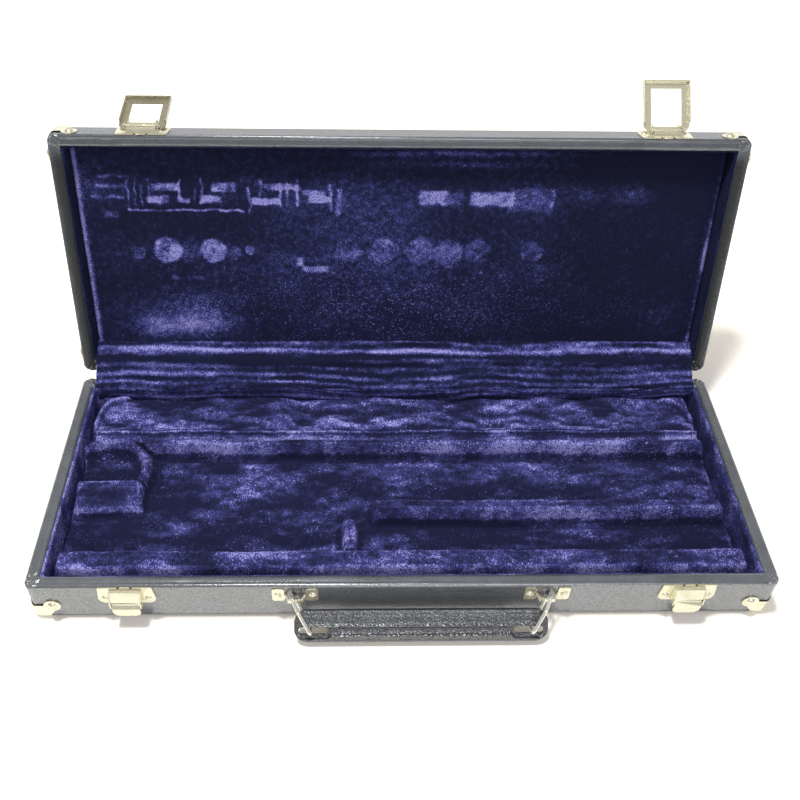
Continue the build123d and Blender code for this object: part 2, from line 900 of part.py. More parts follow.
keep(pierced(capped(tray_face_sheet()), lid_cuts), "lid_top_sheet", open_lid)
keep(tray_lining(base_height), "base_wall_lining")
keep(capped(tray_lining(lid_height)), "lid_wall_lining", open_lid)
keep(base_flap, "base_hinge_flap")
keep(lid_flap, "lid_hinge_flap", open_lid)

# Insert of the base and padded panel of the lid
bed_x, bed_y = lined_x - insert_fit, lined_y - insert_fit
on_bed = (bed_top, bed_top + ridge_rise)
shelf_top = bed_top + shelf_rise
left_end_x = (body_lane_left - left_end_width, body_lane_left)
lip_y = (lip_front, lip_front + rod_lip_width)
blocks = {
    "front_rail": ((-rail_x, rail_x), (rail_front, head_lane[0]), (bed_top, bed_top + rail_rise)),
    "middle_rail": ((middle_rail_left, rail_x), (head_lane[1], body_lane[0]), on_bed),
    "divider": (divider_x, head_lane, on_bed),
    "rod_ridge": ((body_lane_left, rail_x), (body_lane[1], shelf_front), on_bed),
    "left_ridge": ((-rail_x, body_lane_left), left_ridge_y, on_bed),
    "left_end_ridge": (left_end_x, (left_ridge_y[1], shelf_front), on_bed),
    "rear_shelf": ((-rail_x, rail_x), (shelf_front, shelf_rear), (bed_top, shelf_top)),
    "rod_lip": ((-rail_x, rail_x), lip_y, (shelf_top, shelf_top + rod_lip_rise)),
}
with BuildPart() as insert_bed:
    span((-bed_x, bed_x), (-bed_y, bed_y), (floor_top, bed_top))
keep(insert_bed, "insert_bed")
for block_name, (block_x, block_y, block_z) in blocks.items():
    keep(rail(block_x, block_y, block_z), f"insert_{block_name}")
panel_x, panel_y = lined_x - panel_fit, lined_y - panel_fit
with BuildPart() as padded_panel:
    span((-panel_x, panel_x), (-panel_y, lined_y - panel_rear_gap), (floor_top, floor_top + panel_thickness))
    fillet(padded_panel.faces().sort_by(Axis.Z)[-1].edges(), panel_round)
keep(capped(padded_panel), "lid_padded_panel", open_lid)

# Corner protectors, latches and hinges
keep(pierced(protectors, [base_corner_nails]), "base_corner_protectors")
keep(base_corner_nails, "base_corner_rivets")
keep(pierced(lid_protectors, [lid_corner_nails]), "lid_corner_protectors", open_lid)
keep(lid_corner_nails, "lid_corner_rivets", open_lid)
bail_pin_half = box_outer + bail_side_gap + 2 * bail_sheet
latches = {
    "left": (latch_left_x, left_plate, bail_left_rest),
    "right": (latch_right_x, right_plate, bail_right_rest),
}
for side_name, (latch_x, plate, bail_rest) in latches.items():
    lever_pin = cross_pin(latch_x, lever_pin_out, lever_pin_z, box_outer, pin_radius)
    bail_pin = cross_pin(latch_x, bail_pin_out, bail_pin_z, bail_pin_half, pin_radius)
    bail_turn = turned(-half_depth - bail_pin_out, bail_pin_z, -bail_rest)
    keep(pierced(plate, [latch_nails, lever_pin]), f"latch_base_plate_{side_name}")
    keep(lever_pin, f"latch_lever_pin_{side_name}")
    keep(latch_lever(latch_x), f"latch_lever_{side_name}")
    keep(latch_spring(latch_x), f"latch_spring_{side_name}")
    lid_plate = pierced(across_split(plate), [lid_latch_nails, bail_pin])
    keep(lid_plate, f"latch_lid_plate_{side_name}", open_lid)
    keep(bail_pin, f"latch_bail_pin_{side_name}", open_lid)
    keep(placed(latch_bail(latch_x), bail_turn), f"latch_bail_{side_name}", open_lid)
keep(latch_nails, "latch_base_rivets")
keep(lid_latch_nails, "latch_lid_rivets", open_lid)
keep(pierced(base_leaves, [base_leaf_nails]), "hinge_base_leaves")
keep(pierced(lid_leaves, [lid_leaf_nails]), "hinge_lid_leaves", open_lid)
keep(joined(hinge_pin(-hinge_x), hinge_pin(hinge_x)), "hinge_pins")
keep(base_leaf_nails, "hinge_base_rivets")
keep(lid_leaf_nails, "hinge_lid_rivets", open_lid)

# Handle
keep(pierced(left_bridge, [handle_nails]), "handle_plate_left")
keep(pierced(right_bridge, [handle_nails]), "handle_plate_right")
keep(handle_nails, "handle_plate_rivets")
keep(handle_ring(left_plate_x, -1), "handle_ring_left")
keep(handle_ring(right_plate_x, 1), "handle_ring_right")
keep(handle_grip(), "handle_grip", grip_plane())
keep(grip_core(), "handle_core", grip_plane())
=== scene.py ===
"""Looks of a small hard flute case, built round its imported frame.

The case lies open on a pale floor: faded black leathercloth over plywood walls,
navy plush inside, nickel-plated latches, corners and hinges, and a moulded handle.
Sizes in the classes are millimetres and angles are degrees. Only the room's are metres and
radians.
"""

from __future__ import annotations

import logging
from dataclasses import dataclass, field
from enum import Enum
from typing import Any, Callable, Mapping, Sequence

import bmesh
import bpy
import numpy as np
from mathutils import Matrix, Vector

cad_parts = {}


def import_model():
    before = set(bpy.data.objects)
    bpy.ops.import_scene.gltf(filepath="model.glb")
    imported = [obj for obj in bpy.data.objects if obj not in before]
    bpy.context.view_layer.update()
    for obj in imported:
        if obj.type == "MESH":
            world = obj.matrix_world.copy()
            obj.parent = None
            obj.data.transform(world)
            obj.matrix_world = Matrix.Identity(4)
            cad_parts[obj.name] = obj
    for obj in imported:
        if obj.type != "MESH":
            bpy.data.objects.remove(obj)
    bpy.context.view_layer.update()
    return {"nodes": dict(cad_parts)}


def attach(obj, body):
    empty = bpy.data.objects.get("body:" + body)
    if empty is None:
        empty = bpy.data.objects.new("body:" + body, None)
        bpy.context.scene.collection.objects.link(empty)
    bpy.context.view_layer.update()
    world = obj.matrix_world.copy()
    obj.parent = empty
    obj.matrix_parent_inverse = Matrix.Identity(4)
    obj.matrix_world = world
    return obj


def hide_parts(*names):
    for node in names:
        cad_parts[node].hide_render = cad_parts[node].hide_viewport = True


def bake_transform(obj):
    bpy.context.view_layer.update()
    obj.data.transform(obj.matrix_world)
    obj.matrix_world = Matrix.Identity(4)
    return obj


LOG = logging.getLogger("flute_case")
MM = 0.001
Array = np.ndarray
Socket = bpy.types.NodeSocket


# ---------------------------------------------------------------- numbers and noise


def linear(hex_colour: str) -> tuple[float, float, float, float]:
    """Turns an sRGB hex colour into linear light.

    Args:
        hex_colour: six hex digits, with or without a leading hash.

    Returns:
        Red, green, blue and an alpha of one.
    """
    digits = hex_colour.lstrip("#")
    parts = np.array([int(digits[i : i + 2], 16) for i in (0, 2, 4)]) / 255.0
    low, high = parts / 12.92, ((parts + 0.055) / 1.055) ** 2.4
    return (*np.where(parts <= 0.04045, low, high).tolist(), 1.0)


def ease(value: Array, start: float, end: float) -> Array:
    """Rises smoothly from 0 at start to 1 at end: 3 t squared minus 2 t cubed."""
    t = np.clip((value - start) / (end - start), 0, 1)
    return t * t * (3 - 2 * t)


def bell(value: Array, middle: Array | float, width: float) -> Array:
    """A bell curve of height 1: e to the minus half the squared distance in widths."""
    return np.exp(-0.5 * ((value - middle) / width) ** 2)


@dataclass(frozen=True)
class Ripple:
    """Seeded smooth noise over a plane, mostly between -1 and 1.

    A lattice of random values is blended between its four nearest points with eased weights.
    Finer copies, each shifted and half as strong, are added, and the mean is scaled by a gain.
    """

    seed: int
    layers: int = 3
    lattice: int = 128
    shift: tuple[float, float] = (17.3, 5.7)
    gain: float = 1.6

    def __call__(self, u: Array, v: Array) -> Array:
        """Gives the noise over a plane.

        Args:
            u: places along the plane's first side, in lattice steps.
            v: places along its second side.

        Returns:
            The noise, in the shape that u and v share.
        """
        values = np.random.default_rng(self.seed).uniform(-1, 1, (self.lattice, self.lattice))
        total, weight, size = np.zeros(np.broadcast(u, v).shape), 1.0, 0.0
        for layer in range(self.layers):
            a, b = u * 2**layer + self.shift[0] * layer, v * 2**layer + self.shift[1] * layer
            i, j = np.floor(a).astype(int), np.floor(b).astype(int)
            s, t = ease(a - i, 0, 1), ease(b - j, 0, 1)
            for p, share_u in enumerate((1 - s, s)):
                for q, share_v in enumerate((1 - t, t)):
                    corner = values[(i + p) % self.lattice, (j + q) % self.lattice]
                    total += weight * corner * share_u * share_v
            size += weight
            weight *= 0.5
        return total / size * self.gain


# ---------------------------------------------------------------- the case and its halves


class Half(Enum):
    """The two trays that the case is made of."""

    BASE = "base"
    LID = "lid"


@dataclass(frozen=True)
class CaseSizes:
    """Sizes that both trays share."""

    length: float = 440.0
    depth: float = 168.0
    base_height: float = 33.0
    lid_height: float = 20.0
    rim_gap: float = 0.4
    corner_radius: float = 5.0
    edge_radius: float = 3.5
    covering: float = 0.8
    wall: float = 6.0
    board: float = 3.0
    lining: float = 1.5
    hinge_out: float = 2.7
    open_angle: float = 105.0

    @property
    def inner_y(self) -> float:
        """Half the depth inside the walls."""
        return self.depth / 2 - self.covering - self.wall

    @property
    def floor(self) -> float:
        """Height of the board's inside above the tray's flat outside."""
        return self.covering + self.board

    @property
    def hinge_y(self) -> float:
        """Place of the hinge line behind the middle."""
        return self.depth / 2 + self.hinge_out

    @property
    def split(self) -> float:
        """Height of the hinge line, half way across the gap between the rims."""
        return self.base_height + self.rim_gap / 2

    def height(self, half: Half) -> float:
        """Height of a tray from its flat outside to its rim."""
        return self.base_height if half is Half.BASE else self.lid_height

    def place(self, points: Array, half: Half) -> Array:
        """Sets tray points in the case's frame.

        A tray point is x, y and the height above the tray's flat outside. The base keeps it.
        The lid turns it upside down over the base, then swings it open about the hinge line.

        Args:
            points: tray points in millimetres, the last axis being x, y, height.
            half: the tray that they belong to.

        Returns:
            The points in the case's frame, in millimetres.
        """
        if half is Half.BASE:
            return points
        angle = -np.radians(self.open_angle)
        top = self.base_height + self.rim_gap + self.lid_height
        y, z = points[..., 1] - self.hinge_y, top - points[..., 2] - self.split
        turned_y = y * np.cos(angle) - z * np.sin(angle) + self.hinge_y
        turned_z = y * np.sin(angle) + z * np.cos(angle) + self.split
        return np.stack([points[..., 0], turned_y, turned_z], axis=-1)


CASE = CaseSizes()


# ---------------------------------------------------------------- meshes


def surface(
    name: str,
    points: Array,
    wrap_u: bool = False,
    wrap_v: bool = False,
    flip: bool = False,
    caps: Sequence[Sequence[int]] = (),
    values: Mapping[str, Array] | None = None,
) -> bpy.types.Object:
    """Makes a mesh of quads from a grid of points.

    Quad i, j joins the grid's points i, j to i+1, j+1, and the outside is where u crosses v.

    Args:
        name: the piece's name.
        points: grid of points in millimetres, shaped (u, v, 3).
        wrap_u: joins the last row to the first.
        wrap_v: joins the last column to the first.
        flip: turns the outside round.
        caps: more faces, as lists of point numbers, already the right way round.
        values: numbers kept on the points, each shaped (u, v).

    Returns:
        The object, linked to the scene and shaded smooth.
    """
    rows, columns = points.shape[:2]
    number = np.arange(rows * columns).reshape(rows, columns)
    if wrap_u:
        number = np.vstack([number, number[:1]])
    if wrap_v:
        number = np.hstack([number, number[:, :1]])
    quads = np.stack([number[:-1, :-1], number[1:, :-1], number[1:, 1:], number[:-1, 1:]], axis=-1)
    quads = quads.reshape(-1, 4)
    if flip:
        quads = quads[:, ::-1]
    corners = np.concatenate([quads.ravel(), *[np.array(c) for c in caps]]).astype(np.int32)
    totals = np.concatenate([np.full(len(quads), 4), [len(c) for c in caps]]).astype(np.int32)
    starts = np.concatenate([[0], np.cumsum(totals)[:-1]]).astype(np.int32)
    mesh = bpy.data.meshes.new(name)
    mesh.vertices.add(rows * columns)
    mesh.vertices.foreach_set("co", (points.reshape(-1, 3) * MM).astype(np.float32).ravel())
    mesh.loops.add(len(corners))
    mesh.loops.foreach_set("vertex_index", corners)
    mesh.polygons.add(len(totals))
    mesh.polygons.foreach_set("loop_start", starts)
    mesh.polygons.foreach_set("loop_total", totals)
    mesh.polygons.foreach_set("use_smooth", np.ones(len(totals), bool))
    mesh.update(calc_edges=True)
    for key, value in (values or {}).items():
        layer = mesh.attributes.new(key, "FLOAT", "POINT")
        layer.data.foreach_set("value", value.astype(np.float32).ravel())
    mesh.validate()
    piece = bpy.data.objects.new(name, mesh)
    bpy.context.scene.collection.objects.link(piece)
    return piece


def close_up(piece: bpy.types.Object, reach: float) -> None:
    """Merges points that nearly meet, and logs how many edges then have too many faces.

    Args:
        piece: the piece whose mesh is merged.
        reach: how near points have to be, in millimetres.
    """
    sheet = bmesh.new()
    sheet.from_mesh(piece.data)
    bmesh.ops.remove_doubles(sheet, verts=sheet.verts, dist=reach * MM)
    crowded = sum(1 for edge in sheet.edges if not edge.is_manifold and not edge.is_boundary)
    LOG.info("%s has %d edges shared by more than two faces", piece.name, crowded)
    sheet.to_mesh(piece.data)
    sheet.free()


def thicken(piece: bpy.types.Object, thickness: float) -> None:
    """Gives a skin its thickness inwards, in millimetres."""
    solid = piece.modifiers.new("thickness", "SOLIDIFY")
    solid.thickness, solid.offset = thickness * MM, -1.0


@dataclass(frozen=True)
class RimLoop:
    """Rounded rectangle round a tray, at any distance in from its outside.

    The loop runs anticlockwise seen from above the tray. Each side is a straight run and each
    corner a quarter circle, with as many points at every inset, so that rings join up. Points
    on the sides crowd towards the corners, by a mix of even and cosine spacing, and evenness is
    the share of the even one.
    """

    length: float
    depth: float
    radius: float
    least_radius: float = 0.8
    side_points: int = 230
    end_points: int = 90
    corner_points: int = 22
    evenness: float = 0.35

    def along(self) -> Array:
        """Distance of each point along the outermost loop.

        Returns:
            One distance for each point, from 0 at the first.
        """
        ring = self.ring(np.zeros(1))[:, 0]
        step = np.linalg.norm(np.diff(ring, axis=0), axis=1)
        return np.concatenate([[0], np.cumsum(step)])

    def corner_shares(self) -> Array:
        """How far each point is through its corner, from -1 to 1, or 2 on a straight side.

        Returns:
            One share for each point.
        """
        share = [
            part
            for count in (self.side_points, self.end_points) * 2
            for part in (np.full(count, 2.0), np.linspace(-1, 1, self.corner_points))
        ]
        return np.concatenate(share)

    def ring(self, inset: Array) -> Array:
        """Places the loop's points at each inset.

        Args:
            inset: distances in from the outside, one for each ring.

        Returns:
            Points shaped (around, rings, 2).
        """
        inset = np.atleast_1d(inset)
        radius = np.maximum(self.radius - inset, self.least_radius)
        half_x = self.length / 2 - inset - radius
        half_y = self.depth / 2 - inset - radius
        parts = []
        turns = [(-1, -1, 180), (1, -1, 270), (1, 1, 0), (-1, 1, 90)]
        for k in range(4):
            (ax, ay, _), (bx, by, start) = turns[k], turns[(k + 1) % 4]
            count = self.side_points if k % 2 == 0 else self.end_points
            even = (np.arange(count) + 1.0)[:, None] / (count + 1)
            crowded = (1 - np.cos(np.pi * even)) / 2
            share = self.evenness * even + (1 - self.evenness) * crowded
            normal = np.radians(start)
            nx, ny = np.cos(normal), np.sin(normal)
            x = half_x * (ax + (bx - ax) * share) + radius * nx
            y = half_y * (ay + (by - ay) * share) + radius * ny
            parts.append(np.stack([x, y], axis=-1))
            angle = np.radians(start + 90 * np.linspace(0, 1, self.corner_points))[:, None]
            x = half_x * bx + radius * np.cos(angle)
            y = half_y * by + radius * np.sin(angle)
            parts.append(np.stack([x, y], axis=-1))
        return np.concatenate(parts)


# ---------------------------------------------------------------- finishes


def add_node(
    tree: bpy.types.NodeTree, kind: str, inputs: Mapping[str | int, Any] | None = None, **settings: Any
) -> bpy.types.Node:
    """Adds a shader node with its settings, values and links.

    Args:
        tree: the material's nodes.
        kind: the node's type, without the leading ShaderNode.
        inputs: a value, or an output socket to link, for each input's name or number.
        settings: the node's own properties.

    Returns:
        The node.
    """
    node = tree.nodes.new("ShaderNode" + kind)
    for key, value in settings.items():
        setattr(node, key, value)
    for key, value in (inputs or {}).items():
        if isinstance(value, Socket):
            tree.links.new(value, node.inputs[key])
        else:
            node.inputs[key].default_value = value
    return node


def ramp(tree: bpy.types.NodeTree, factor: Socket, stops: Sequence[tuple[float, str]]) -> Socket:
    """Colours a factor by a ramp.

    Args:
        tree: the nodes to add it to.
        factor: what is coloured, from 0 to 1.
        stops: the ramp's places, each with its hex colour.

    Returns:
        The colour.
    """
    node = add_node(tree, "ValToRGB", {"Fac": factor})
    elements = node.color_ramp.elements
    while len(elements) < len(stops):
        elements.new(0.5)
    for element, (at, colour) in zip(elements, stops):
        element.position, element.color = at, linear(colour)
    return node.outputs["Color"]


@dataclass(frozen=True)
class Finish:
    """A finish of one real material, made as procedural nodes on Object coordinates."""

    name: str

    def build(self) -> bpy.types.Material:
        """Makes the material with its Principled shader, then dresses it.

        Returns:
            The material.
        """
        material = bpy.data.materials.new(self.name)
        material.use_nodes = True
        tree = material.node_tree
        tree.nodes.clear()
        shader = add_node(tree, "BsdfPrincipled")
        output = add_node(tree, "OutputMaterial")
        tree.links.new(shader.outputs["BSDF"], output.inputs["Surface"])
        place = add_node(tree, "TexCoord").outputs["Object"]
        self.dress(tree, shader, place)
        return material

    def dress(self, tree: bpy.types.NodeTree, shader: bpy.types.Node, place: Socket) -> None:
        """Sets the shader's sockets and links its patterns."""
        raise NotImplementedError

    @staticmethod
    def noise(
        tree: bpy.types.NodeTree, place: Socket, size: float, detail: float = 3.0, rough: float = 0.55
    ) -> Socket:
        """Noise whose lumps are about size millimetres across."""
        inputs = {"Vector": place, "Scale": 1 / (size * MM), "Detail": detail, "Roughness": rough}
        return add_node(tree, "TexNoise", inputs).outputs["Fac"]

    @staticmethod
    def link(tree: bpy.types.NodeTree, output: Socket, shader: bpy.types.Node, name: str) -> None:
        """Links an output to one of the shader's sockets."""
        tree.links.new(output, shader.inputs[name])


@dataclass(frozen=True)
class Leathercloth(Finish):
    """Cloth with an embossed and lacquered face, once black.

    It gives a fine pebble grain, a grey bloom where it has faded, and a soft lacquer gloss. The
    real pebble is about 0.7 mm across and is drawn half larger than life, because it wouldn't
    show. An attribute on the mesh paints shade on: it darkens the cloth and dulls its gloss at
    the base's foot and on the lid's side rims.
    """

    black: str = "#34383e"
    faded: str = "#50555c"
    # Tone of the painted shade.
    shade_tone: str = "#1b1d1f"
    pebble: float = 1.1
    crease: float = 14.0
    wave: float = 60.0
    pebble_depth: float = 0.42
    wave_depth: float = 1.0
    lacquer: float = 2.9

    def dress(self, tree: bpy.types.NodeTree, shader: bpy.types.Node, place: Socket) -> None:
        """Pebble bump over slow waves, two greys mixed by wear, and a painted shade mixed by an attribute.

        Args:
            tree: the material's nodes.
            shader: its Principled shader.
            place: Object coordinates.
        """
        cells = add_node(
            tree, "TexVoronoi", {"Vector": place, "Scale": 1 / (self.pebble * MM)}, feature="SMOOTH_F1"
        ).outputs["Distance"]
        worn = self.noise(tree, place, self.crease, detail=5.0)
        slow = self.noise(tree, place, self.wave, detail=1.0)
        # Painted shade from the mesh: it mixes in the dark tone here and dulls the gloss below.
        painted_shade = add_node(tree, "Attribute", attribute_name="painted_shade").outputs["Fac"]
        tone = add_node(tree, "Math", {0: cells, 1: 0.5, 2: worn}, operation="MULTIPLY_ADD").outputs[0]
        clean = ramp(tree, tone, [(0.45, self.black), (0.95, self.faded)])
        mixed = add_node(tree, "Mix", {0: painted_shade, 6: clean, 7: linear(self.shade_tone)}, data_type="RGBA")
        self.link(tree, mixed.outputs[2], shader, "Base Color")
        valley = add_node(
            tree,
            "MapRange",
            {"Value": cells, "From Min": 0.25, "From Max": 0.6, "To Min": 0.95, "To Max": 0.5},
        ).outputs["Result"]
        gloss = add_node(tree, "Math", {0: valley, 1: painted_shade}, operation="SUBTRACT", use_clamp=True)
        self.link(tree, gloss.outputs[0], shader, "Coat Weight")
        self.link(tree, ramp(tree, worn, [(0.3, "a5a5a5"), (0.75, "bebebe")]), shader, "Roughness")
        waves = {"Height": slow, "Strength": 0.2, "Distance": self.wave_depth * MM}
        below = add_node(tree, "Bump", waves).outputs["Normal"]
        grain = {"Height": cells, "Strength": 1.0, "Distance": self.pebble_depth * MM, "Normal": below}
        self.link(tree, add_node(tree, "Bump", grain).outputs["Normal"], shader, "Normal")
        shader.inputs["IOR"].default_value = 1.6
        shader.inputs["Specular IOR Level"].default_value = 0.4
        shader.inputs["Coat Roughness"].default_value = 0.22
        shader.inputs["Coat IOR"].default_value = self.lacquer


@dataclass(frozen=True)
class Plush(Finish):
    """Woven rayon plush with a short cut pile, glued over board and card.

    Pile that leans away is nearly black, pile that leans to the light is violet, and single
    fibres sparkle. One attribute holds how far the pile leans together with painted light and
    shade on the shapes, and spark says how frosted it is.
    The fibres are drawn several times thicker than life, because they wouldn't show.
    """

    deep: str = "#181b36"
    navy: str = "#282b50"
    violet: str = "#46488a"
    bright: str = "#9b9ad8"
    fibre: float = 0.7
    brush: float = 3.4
    tuft: float = 0.85
    pile_depth: float = 0.35
    full_tone: float = 1.1

    def dress(self, tree: bpy.types.NodeTree, shader: bpy.types.Node, place: Socket) -> None:
        """Mixes four blues by pile lean with painted light and shade, brush and fibre noise; adds sheen.

        The fibre noise grows with the lean and its painted light, so that dark pile stays plain
        and bright pile sparkles.

        Args:
            tree: the material's nodes.
            shader: its Principled shader.
            place: Object coordinates.
        """
        # The pile's lean together with painted light and shade, kept on the mesh.
        lay_and_light = add_node(tree, "Attribute", attribute_name="lay_and_light").outputs["Fac"]
        spark = add_node(tree, "Attribute", attribute_name="spark").outputs["Fac"]
        drawn = add_node(tree, "Mapping", {"Vector": place, "Scale": (1.0, 0.5, 0.8)}).outputs["Vector"]
        fine = self.noise(tree, drawn, self.fibre, detail=3.0, rough=0.8)
        brushed = self.noise(tree, place, self.brush, detail=3.0, rough=0.55)
        stroke = add_node(tree, "Math", {0: brushed, 1: 0.8, 2: -0.4}, operation="MULTIPLY_ADD").outputs[0]
        leaning = add_node(tree, "Math", {0: lay_and_light, 1: stroke}, operation="ADD", use_clamp=True).outputs[0]
        gain = add_node(tree, "Math", {0: leaning, 1: 3.0, 2: 0.8}, operation="MULTIPLY_ADD").outputs[0]
        centred = add_node(tree, "Math", {0: fine, 1: 0.5}, operation="SUBTRACT").outputs[0]
        fibres = add_node(tree, "Math", {0: centred, 1: gain}, operation="MULTIPLY").outputs[0]
        tuft = add_node(tree, "TexVoronoi", {"Vector": place, "Scale": 1 / (self.tuft * MM)})
        lot = add_node(tree, "SeparateColor", {0: tuft.outputs["Color"]}).outputs[0]
        chosen = add_node(
            tree, "MapRange", {"Value": lot, "From Min": 0.72, "From Max": 0.95}
        ).outputs["Result"]
        tip = add_node(
            tree, "MapRange", {"Value": tuft.outputs["Distance"], "From Min": 0.62, "From Max": 0.2}
        ).outputs["Result"]
        dots = add_node(tree, "Math", {0: chosen, 1: tip}, operation="MULTIPLY").outputs[0]
        frost = add_node(tree, "Math", {0: dots, 1: spark}, operation="MULTIPLY").outputs[0]
        total = add_node(tree, "Math", {0: leaning, 1: fibres}, operation="ADD").outputs[0]
        total = add_node(tree, "Math", {0: total, 1: frost}, operation="ADD").outputs[0]
        full = self.full_tone
        stops = [(0.05, self.deep), (0.34, self.navy), (0.72, self.violet), (full, self.bright)]
        scaled = add_node(tree, "Math", {0: total, 1: 1 / full}, operation="MULTIPLY").outputs[0]
        self.link(tree, ramp(tree, scaled, [(at / full, c) for at, c in stops]), shader, "Base Color")
        pile = {"Height": fine, "Strength": 0.8, "Distance": self.pile_depth * MM}
        self.link(tree, add_node(tree, "Bump", pile).outputs["Normal"], shader, "Normal")
        shader.inputs["Roughness"].default_value = 0.95
        shader.inputs["Specular IOR Level"].default_value = 0.15
        shader.inputs["Sheen Weight"].default_value = 0.12
        shader.inputs["Sheen Roughness"].default_value = 0.35
        shader.inputs["Sheen Tint"].default_value = linear("#8480c8")


@dataclass(frozen=True)
class PlatedMetal(Finish):
    """Stamped steel with bright nickel plate, dulled by handling.

    It gives a warm soft mirror, faint clouds, and a brown in its corners and where pieces meet,
    which is partly tarnish and partly painted shade.
    """

    bright: str = "#ece7cd"
    dull: str = "#d3cbb0"
    tarnish_and_shade: str = "#4f452f"
    low_rough: str = "858585"
    high_rough: str = "979797"
    cloud: float = 9.0
    tarnish_and_shade_reach: float = 0.9
    dent_depth: float = 0.2
    mirror: float = 0.8

    def dress(self, tree: bpy.types.NodeTree, shader: bpy.types.Node, place: Socket) -> None:
        """Mixes bright and dull plate by clouds, then a brown by how closed in the place is,
        which is partly tarnish and partly painted shade.

        Args:
            tree: the material's nodes.
            shader: its Principled shader.
            place: Object coordinates.
        """
        cloud = self.noise(tree, place, self.cloud, detail=3.0, rough=0.5)
        plate = ramp(tree, cloud, [(0.5, self.bright), (1.0, self.dull)])
        # Painted shade with tarnish: ambient occlusion mixes the brown into closed-in places.
        open_share = add_node(tree, "AmbientOcclusion", {"Distance": self.tarnish_and_shade_reach * MM}, samples=16)
        closed = ramp(tree, open_share.outputs["AO"], [(0.3, "ffffff"), (0.75, "000000")])
        mixed = add_node(tree, "Mix", {0: closed, 6: plate, 7: linear(self.tarnish_and_shade)}, data_type="RGBA")
        self.link(tree, mixed.outputs[2], shader, "Base Color")
        rough = ramp(tree, cloud, [(0.35, self.low_rough), (0.75, self.high_rough)])
        self.link(tree, rough, shader, "Roughness")
        dents = {"Height": cloud, "Strength": 0.02, "Distance": self.dent_depth * MM}
        self.link(tree, add_node(tree, "Bump", dents).outputs["Normal"], shader, "Normal")
        shader.inputs["Metallic"].default_value = self.mirror


@dataclass(frozen=True)
class MouldedGrip(Finish):
    """Black thermoplastic moulded with a leather grain.

    It gives a dark grey with a coarse shallow grain and a plain satin gloss.
    """

    colour: str = "#27292d"
    worn: str = "#393c41"
    grain: float = 1.2
    grain_depth: float = 0.42
    cloud: float = 12.0

    def dress(self, tree: bpy.types.NodeTree, shader: bpy.types.Node, place: Socket) -> None:
        """Grain bump and a slow change of grey.

        Args:
            tree: the material's nodes.
            shader: its Principled shader.
            place: Object coordinates.
        """
        cells = add_node(
            tree, "TexVoronoi", {"Vector": place, "Scale": 1 / (self.grain * MM)}, feature="SMOOTH_F1"
        ).outputs["Distance"]
        slow = self.noise(tree, place, self.cloud)
        self.link(tree, ramp(tree, slow, [(0.35, self.colour), (0.7, self.worn)]), shader, "Base Color")
        grain = {"Height": cells, "Strength": 1.0, "Distance": self.grain_depth * MM}
        self.link(tree, add_node(tree, "Bump", grain).outputs["Normal"], shader, "Normal")
        shader.inputs["Roughness"].default_value = 0.27
        shader.inputs["IOR"].default_value = 2.1


@dataclass(frozen=True)
class Plywood(Finish):
    """Thin birch plywood of the walls and boards, hidden under cloth and plush.

    It gives a pale straw colour with long grain.
    """

    pale: str = "#cfb68c"
    dark: str = "#a98b5e"
    grain: float = 1.2
    drawn_out: float = 0.05

    def dress(self, tree: bpy.types.NodeTree, shader: bpy.types.Node, place: Socket) -> None:
        """Grain drawn out along the case's length.

        Args:
            tree: the material's nodes.
            shader: its Principled shader.
            place: Object coordinates.
        """
        drawn = {"Vector": place, "Scale": (self.drawn_out, 1.0, 1.0)}
        grain = self.noise(tree, add_node(tree, "Mapping", drawn).outputs["Vector"], self.grain, detail=4.0)
        self.link(tree, ramp(tree, grain, [(0.3, self.pale), (0.7, self.dark)]), shader, "Base Color")
        shader.inputs["Roughness"].default_value = 0.7


# ---------------------------------------------------------------- leathercloth covering


